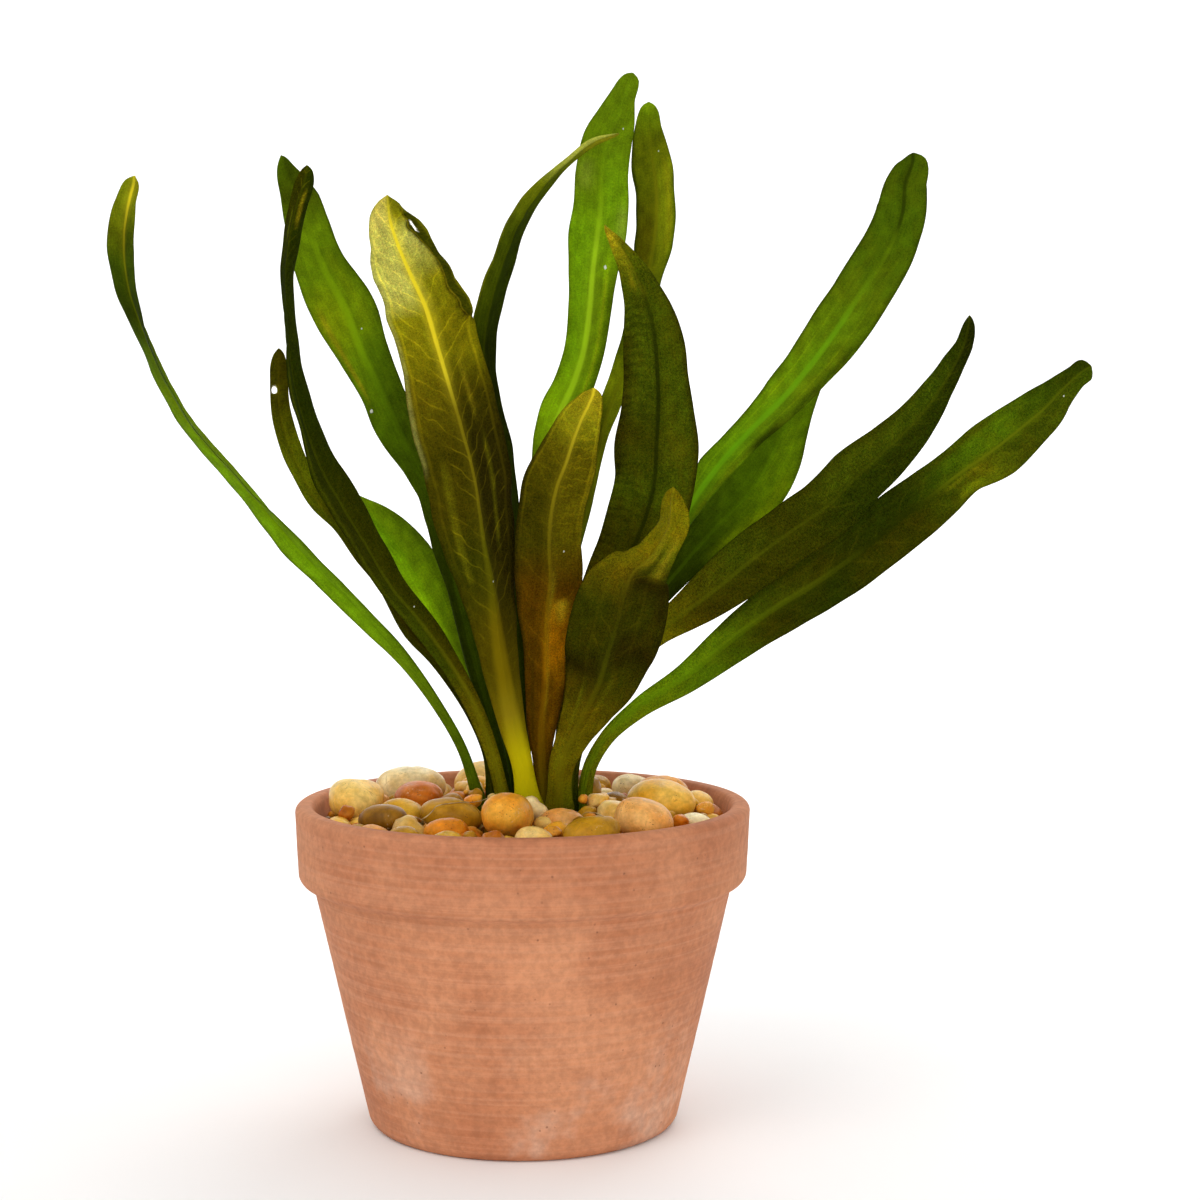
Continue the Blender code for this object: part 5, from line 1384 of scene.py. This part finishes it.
def build_crown():
    """The rootstock, lumpy and fibrous."""
    mesh = refined(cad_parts["crown"], 3)
    for vert in mesh.vertices:
        at = vert.co / (3.2 * MM)
        rise = 0.5 * noise.noise(at) + 0.3 * noise.noise(at * 2.7)
        vert.co = vert.co + vert.normal * rise * 0.7 * MM
    mesh.shade_smooth()
    g = Graph("rootstock")
    spot = g.here()
    fibre = g.noise(spot, (900.0, 900.0, 160.0), 4.0, 0.6)
    cloud = g.ramp(g.noise(spot, 160.0), 0.35, 0.65)
    tone = g.mix(cloud, (0.10, 0.055, 0.012), (0.22, 0.13, 0.03))
    g.finish(g.shaded(tone, g.ramp(fibre, 0.3, 0.7, 0.55, 1.2)),
             g.ramp(fibre, 0.3, 0.7, 0.5, 0.75), g.bump(fibre, 0.7, 0.4 * MM),
             Specular_IOR_Level=0.08)
    return piece("rootstock", mesh, g.material, ("crown",))


# ---------------------------------------------------------------- pot
# Radius and height of its corners, from the middle of the floor inside, over the rim, to below
POT_CORNERS = ((0.0, 6.0), (35.0, 6.0), (39.0, 9.0), (56.6, 86.4), (57.6, 88.0), (60.8, 88.0),
               (62.0, 86.8), (61.1, 68.6), (60.0, 67.0), (57.2, 66.4), (42.4, 1.6), (40.6, 0.0),
               (0.0, 0.0))
POT_ROUNDING, POT_STEP, POT_SECTORS = 1.3, 1.6, 160
FOOT_HEIGHT, FOOT_RADIUS = 0.5, 38       # what is lower or nearer the axis stays true
DRAINS, DRAIN_RING, DRAIN_RADIUS = 3, 22 * MM, 2.75 * MM


def terracotta_material():
    g = Graph("terracotta")
    spot = g.here()
    height = g.split(spot)[2]
    cloud = g.noise(spot, 28.0, 5.0, 0.6)
    fine = g.noise(spot, 420.0, 4.0, 0.65)
    lines = g.noise(spot, (6.0, 6.0, 900.0), 3.0, 0.6)
    tone = g.mix(g.ramp(cloud, 0.34, 0.66), (0.46, 0.165, 0.072), (0.60, 0.255, 0.125))
    tone = g.mix(g.ramp(lines, 0.40, 0.72, 0.0, 0.28), tone, (0.68, 0.34, 0.20))
    bloom = g.times(g.ramp(g.noise(spot, 42.0, 4.0, 0.6), 0.5, 0.7),
                    g.ramp(height, 0.045, 0.0, 0.0, 0.38))
    tone = g.mix(bloom, tone, (0.72, 0.56, 0.45))
    damp = g.plus(height, g.ramp(cloud, 0.3, 0.7, -0.006, 0.006))
    tone = g.mix(g.ramp(damp, 0.058, 0.084, 0.0, 0.28), tone, (0.34, 0.115, 0.05))
    tone = g.shaded(tone, g.ramp(fine, 0.3, 0.7, 0.86, 1.10))
    pits = g.times(g.ramp(g.cells(spot, 330.0), 0.14, 0.05),
                   g.ramp(g.noise(spot, 90.0), 0.5, 0.62))
    tone = g.mix(g.times(pits, 0.6), tone, (0.16, 0.06, 0.03))
    relief = g.less(g.plus(g.times(fine, 0.5), g.times(lines, 0.7)), pits)
    return g.finish(tone, g.ramp(cloud, 0.3, 0.7, 0.74, 0.92), g.bump(relief, 0.35, 0.4 * MM),
                    Specular_IOR_Level=0.3)


def rounded(corners, radius, steps=5):
    """The profile with every inner corner turned into a short arc."""
    made = [corners[0]]
    for before, corner, after in zip(corners, corners[1:], corners[2:]):
        corner = np.array(corner)
        to_before, to_after = np.array(before) - corner, np.array(after) - corner
        cut = min(radius, *(np.linalg.norm(leg) * 0.45 for leg in (to_before, to_after)))
        start, end = (corner + unit(leg) * cut for leg in (to_before, to_after))
        for t in np.linspace(0, 1, steps + 1):
            made.append(tuple(start * (1 - t) ** 2 + corner * 2 * t * (1 - t) + end * t ** 2))
    return made + [corners[-1]]


def divided(outline, longest):
    """The outline with points put in so that its steps stay short."""
    profile = []
    for (r0, z0), (r1, z1) in zip(outline, outline[1:]):
        parts = max(1, int(math.hypot(r1 - r0, z1 - z0) / longest))
        profile.extend((r0 + (r1 - r0) * k / parts, z0 + (z1 - z0) * k / parts)
                       for k in range(parts))
    return profile + [outline[-1]]


def thrown(radius, height, angle):
    """Faint throwing rings and a slight wobble, which leave the floor and the foot alone."""
    if height < FOOT_HEIGHT or radius < FOOT_RADIUS:
        return radius, height
    wobble = noise.noise(Vector((math.cos(angle) * 1.4, math.sin(angle) * 1.4, height / 30)))
    ripple = noise.noise(Vector((0.3, 0.1, height / 1.7)))
    return radius + 0.10 * wobble + 0.05 * ripple - 0.08, height


def build_pot():
    """The turned pot with soft edges, its drain holes punched through."""
    profile = divided(rounded(POT_CORNERS, POT_ROUNDING), POT_STEP)
    mesh = lathe("terracotta_pot", profile, POT_SECTORS, thrown)
    face_out(mesh)
    angles = [math.tau * (index + 0.25) / DRAINS for index in range(DRAINS)]
    places = [(DRAIN_RING * math.cos(a), DRAIN_RING * math.sin(a), 3 * MM) for a in angles]
    mesh = drilled(mesh, places, (DRAIN_RADIUS, DRAIN_RADIUS), 18 * MM, 40)
    mesh.shade_smooth()
    mesh.set_sharp_from_angle(angle=math.radians(50))
    return piece("terracotta_pot", mesh, terracotta_material(), ("pot",))


# ---------------------------------------------------------------- small things
# The way of each root thread over the stones, seen from above, in millimetres
ROOTS = (((-28, -27), (-22, -24), (-15, -20.5), (-8, -16.5), (-3, -11.5)),
         ((29, -24), (23, -20.5), (18, -17.5), (13.5, -12.5)))
ROOT_POINTS, ROOT_SIDES, ROOT_RADIUS = 60, 8, 0.16 * MM
# Pale grains: leaf, place seen to the right and up, half width, in millimetres
SPECKS = ((2, -40.7, 102.1, 0.4), (2, -43.2, 124.3, 0.19), (10, 36.7, 171.6, 0.19),
          (16, 146.2, 106.2, 0.19), (3, -8, 56, 0.19), (9, 11.2, 64.2, 0.19),
          (4, -29.5, 49.2, 0.19), (8, 22.4, 140.7, 0.42), (8, 27.2, 177.5, 0.19))


def plain_material(name, low, high, scale, roughness):
    g = Graph(name)
    cloud = g.noise(g.here(), scale)
    return g.finish(g.mix(g.ramp(cloud, 0.35, 0.65), low, high),
                    g.ramp(cloud, 0.3, 0.7, roughness, roughness + 0.15),
                    g.bump(cloud, 0.3, 0.1 * MM))


def tube(name, path, material):
    """A fine thread along the path, thinner towards its end."""
    along = unit(np.gradient(path, axis=0))
    flat = unit(np.cross(along, (0.0, 0.0, 1.0)))
    up = np.cross(flat, along)
    points, faces = [], []
    for index, (at, sideways, rising) in enumerate(zip(path, flat, up)):
        size = ROOT_RADIUS * (1 - 0.6 * index / len(path)) * (1 + 0.25 * math.sin(index * 1.7))
        for step in range(ROOT_SIDES):
            angle = math.tau * step / ROOT_SIDES
            out = math.cos(angle) * sideways + math.sin(angle) * rising
            points.append(tuple(at + size * out))
    for ring in range(len(path) - 1):
        for step in range(ROOT_SIDES):
            a, b = (ring * ROOT_SIDES + k % ROOT_SIDES for k in (step, step + 1))
            faces.append((a, b, b + ROOT_SIDES, a + ROOT_SIDES))
    faces.append(tuple(range(ROOT_SIDES))[::-1])
    faces.append(tuple(range(len(points) - ROOT_SIDES, len(points))))
    return piece(name, mesh_from(name, points, faces), material)


def build_roots(covering):
    """Two thin pale roots that lie over the stones in front of the crown."""
    tree = search_tree(covering)
    material = plain_material("root_thread", (0.24, 0.14, 0.05), (0.52, 0.38, 0.17), 600.0, 0.5)
    for index, route in enumerate(ROOTS, start=1):
        knots = np.linspace(0, 1, len(route))
        flat = through(knots, np.array(route, dtype=float) * MM, np.linspace(0, 1, ROOT_POINTS))
        heights = np.array([height_under(tree, x, y) for x, y in flat])
        window = np.array([heights[max(0, i - 5):i + 6].max() for i in range(ROOT_POINTS)])
        eased = np.convolve(np.pad(window, 4, mode="edge"), np.ones(9) / 9, mode="valid")
        path = np.column_stack((flat, np.maximum(eased, heights) + 0.15 * MM))
        tube(f"root_{index}", path, material)


def build_specks(blades):
    """Small pale grains that sit on the leaves."""
    points, faces = [], []
    for number, x, height, size in SPECKS:
        toward = place(np.array(x * MM), np.array(height * MM), np.array(0.0)) - EYE
        tree = search_tree([blades[number - 1]])
        hit, normal, _, _ = tree.ray_cast(Vector(EYE), Vector(toward).normalized())
        if hit is None:
            continue
        lay = normal.to_track_quat("Z", "Y").to_matrix().to_4x4()
        half = (size * MM, size * 1.5 * MM, size * 0.5 * MM, 1.0)
        shape = Matrix.Translation(hit) @ lay @ Matrix.Diagonal(half)
        offset = Vector((number, 0, 0))
        grain, sides = ball(2, lambda at: shape @ (
            at * (1 + 0.35 * noise.noise(at * 1.5 + offset))))
        faces.extend([len(points) + i for i in side] for side in sides)
        points.extend(grain)
    material = plain_material("pale_grain", (0.46, 0.50, 0.40), (0.66, 0.68, 0.56), 900.0, 0.5)
    return piece("specks", mesh_from("specks", points, faces), material)


# ---------------------------------------------------------------- stage
PLANT, PAPER = (0.02, 0.0, 0.15), (0.0, 1.9, 1.0)
# Lamps: name, place, what it is aimed at, size, power and colour
LAMPS = (("key", (-0.50, -0.70, 0.95), PLANT, 0.6, 3.6, (1.0, 0.98, 0.95)),
         ("front", (0.30, -1.00, 0.30), PLANT, 0.6, 2.0, (1.0, 0.99, 0.97)),
         ("back", (0.35, 0.75, 0.95), PLANT, 0.7, 3.6, (1.0, 1.0, 1.0)),
         ("backdrop", (0.0, 0.55, 1.5), PAPER, 1.4, 22.0, (1.0, 1.0, 1.0)))
SENSOR = 36.0


def aimed(name, data, at, target):
    made = shown(name, data)
    made.location = Vector(at)
    made.rotation_euler = (Vector(target) - Vector(at)).to_track_quat("-Z", "Y").to_euler()
    return made


def build_sweep():
    """A pale paper sweep: flat under the pot, curving up far behind it."""
    g = Graph("paper")
    cloud = g.ramp(g.noise(g.here(), 6.0), 0.3, 0.7)
    g.finish(g.mix(cloud, (0.88, 0.88, 0.875), (0.90, 0.90, 0.895)), 0.9)
    bend = [step * math.pi / 48 for step in range(1, 25)]
    section = [(-4.0, 0.0), (0.5, 0.0),
               *((0.5 + 1.6 * math.sin(turn), 1.6 - 1.6 * math.cos(turn)) for turn in bend),
               (2.1, 3.5)]
    points = [(x, y, z) for y, z in section for x in (-4.0, 4.0)]
    faces = [(2 * i, 2 * i + 1, 2 * i + 3, 2 * i + 2) for i in range(len(section) - 1)]
    mesh = mesh_from("sweep", points, faces)
    mesh.materials.append(g.material)
    sweep = shown("sweep", mesh)


def build_stage():
    build_sweep()
    world = bpy.data.worlds.new("studio")
    world.use_nodes = True
    background = world.node_tree.nodes["Background"]
    background.inputs["Color"].default_value = (1.0, 1.0, 1.0, 1.0)
    background.inputs["Strength"].default_value = 0.80
    bpy.context.scene.world = world
    bpy.context.scene.view_settings.view_transform = "Standard"

    for name, at, target, size, power, colour in LAMPS:
        lamp = bpy.data.lights.new(name, "AREA")
        lamp.size, lamp.energy, lamp.color = size, power, colour
        aimed(name, lamp, at, target)

    lens = bpy.data.cameras.new("camera")
    lens.sensor_width = SENSOR
    lens.lens = SENSOR * float(np.linalg.norm(LOOK_AT - EYE)) / SEEN_HEIGHT
    lens.clip_start = 0.01
    bpy.context.scene.camera = aimed("camera", lens, EYE, LOOK_AT)


def main():
    build_stage()
    blades = build_leaves()
    stone = stone_material()
    stones = build_pebbles(stone)
    build_crown()
    grit = build_ground()
    small = build_small_stones(stones, stone, blades)
    build_pot()
    build_roots(stones + small + [grit])
    build_specks(blades)
    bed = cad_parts["gravel_bed"]
    bed.data.materials.clear()
    packed = ground_material("packed_gravel", (0.07, 0.05, 0.03), (0.24, 0.17, 0.09), 420.0)
    bed.data.materials.append(packed)


main()
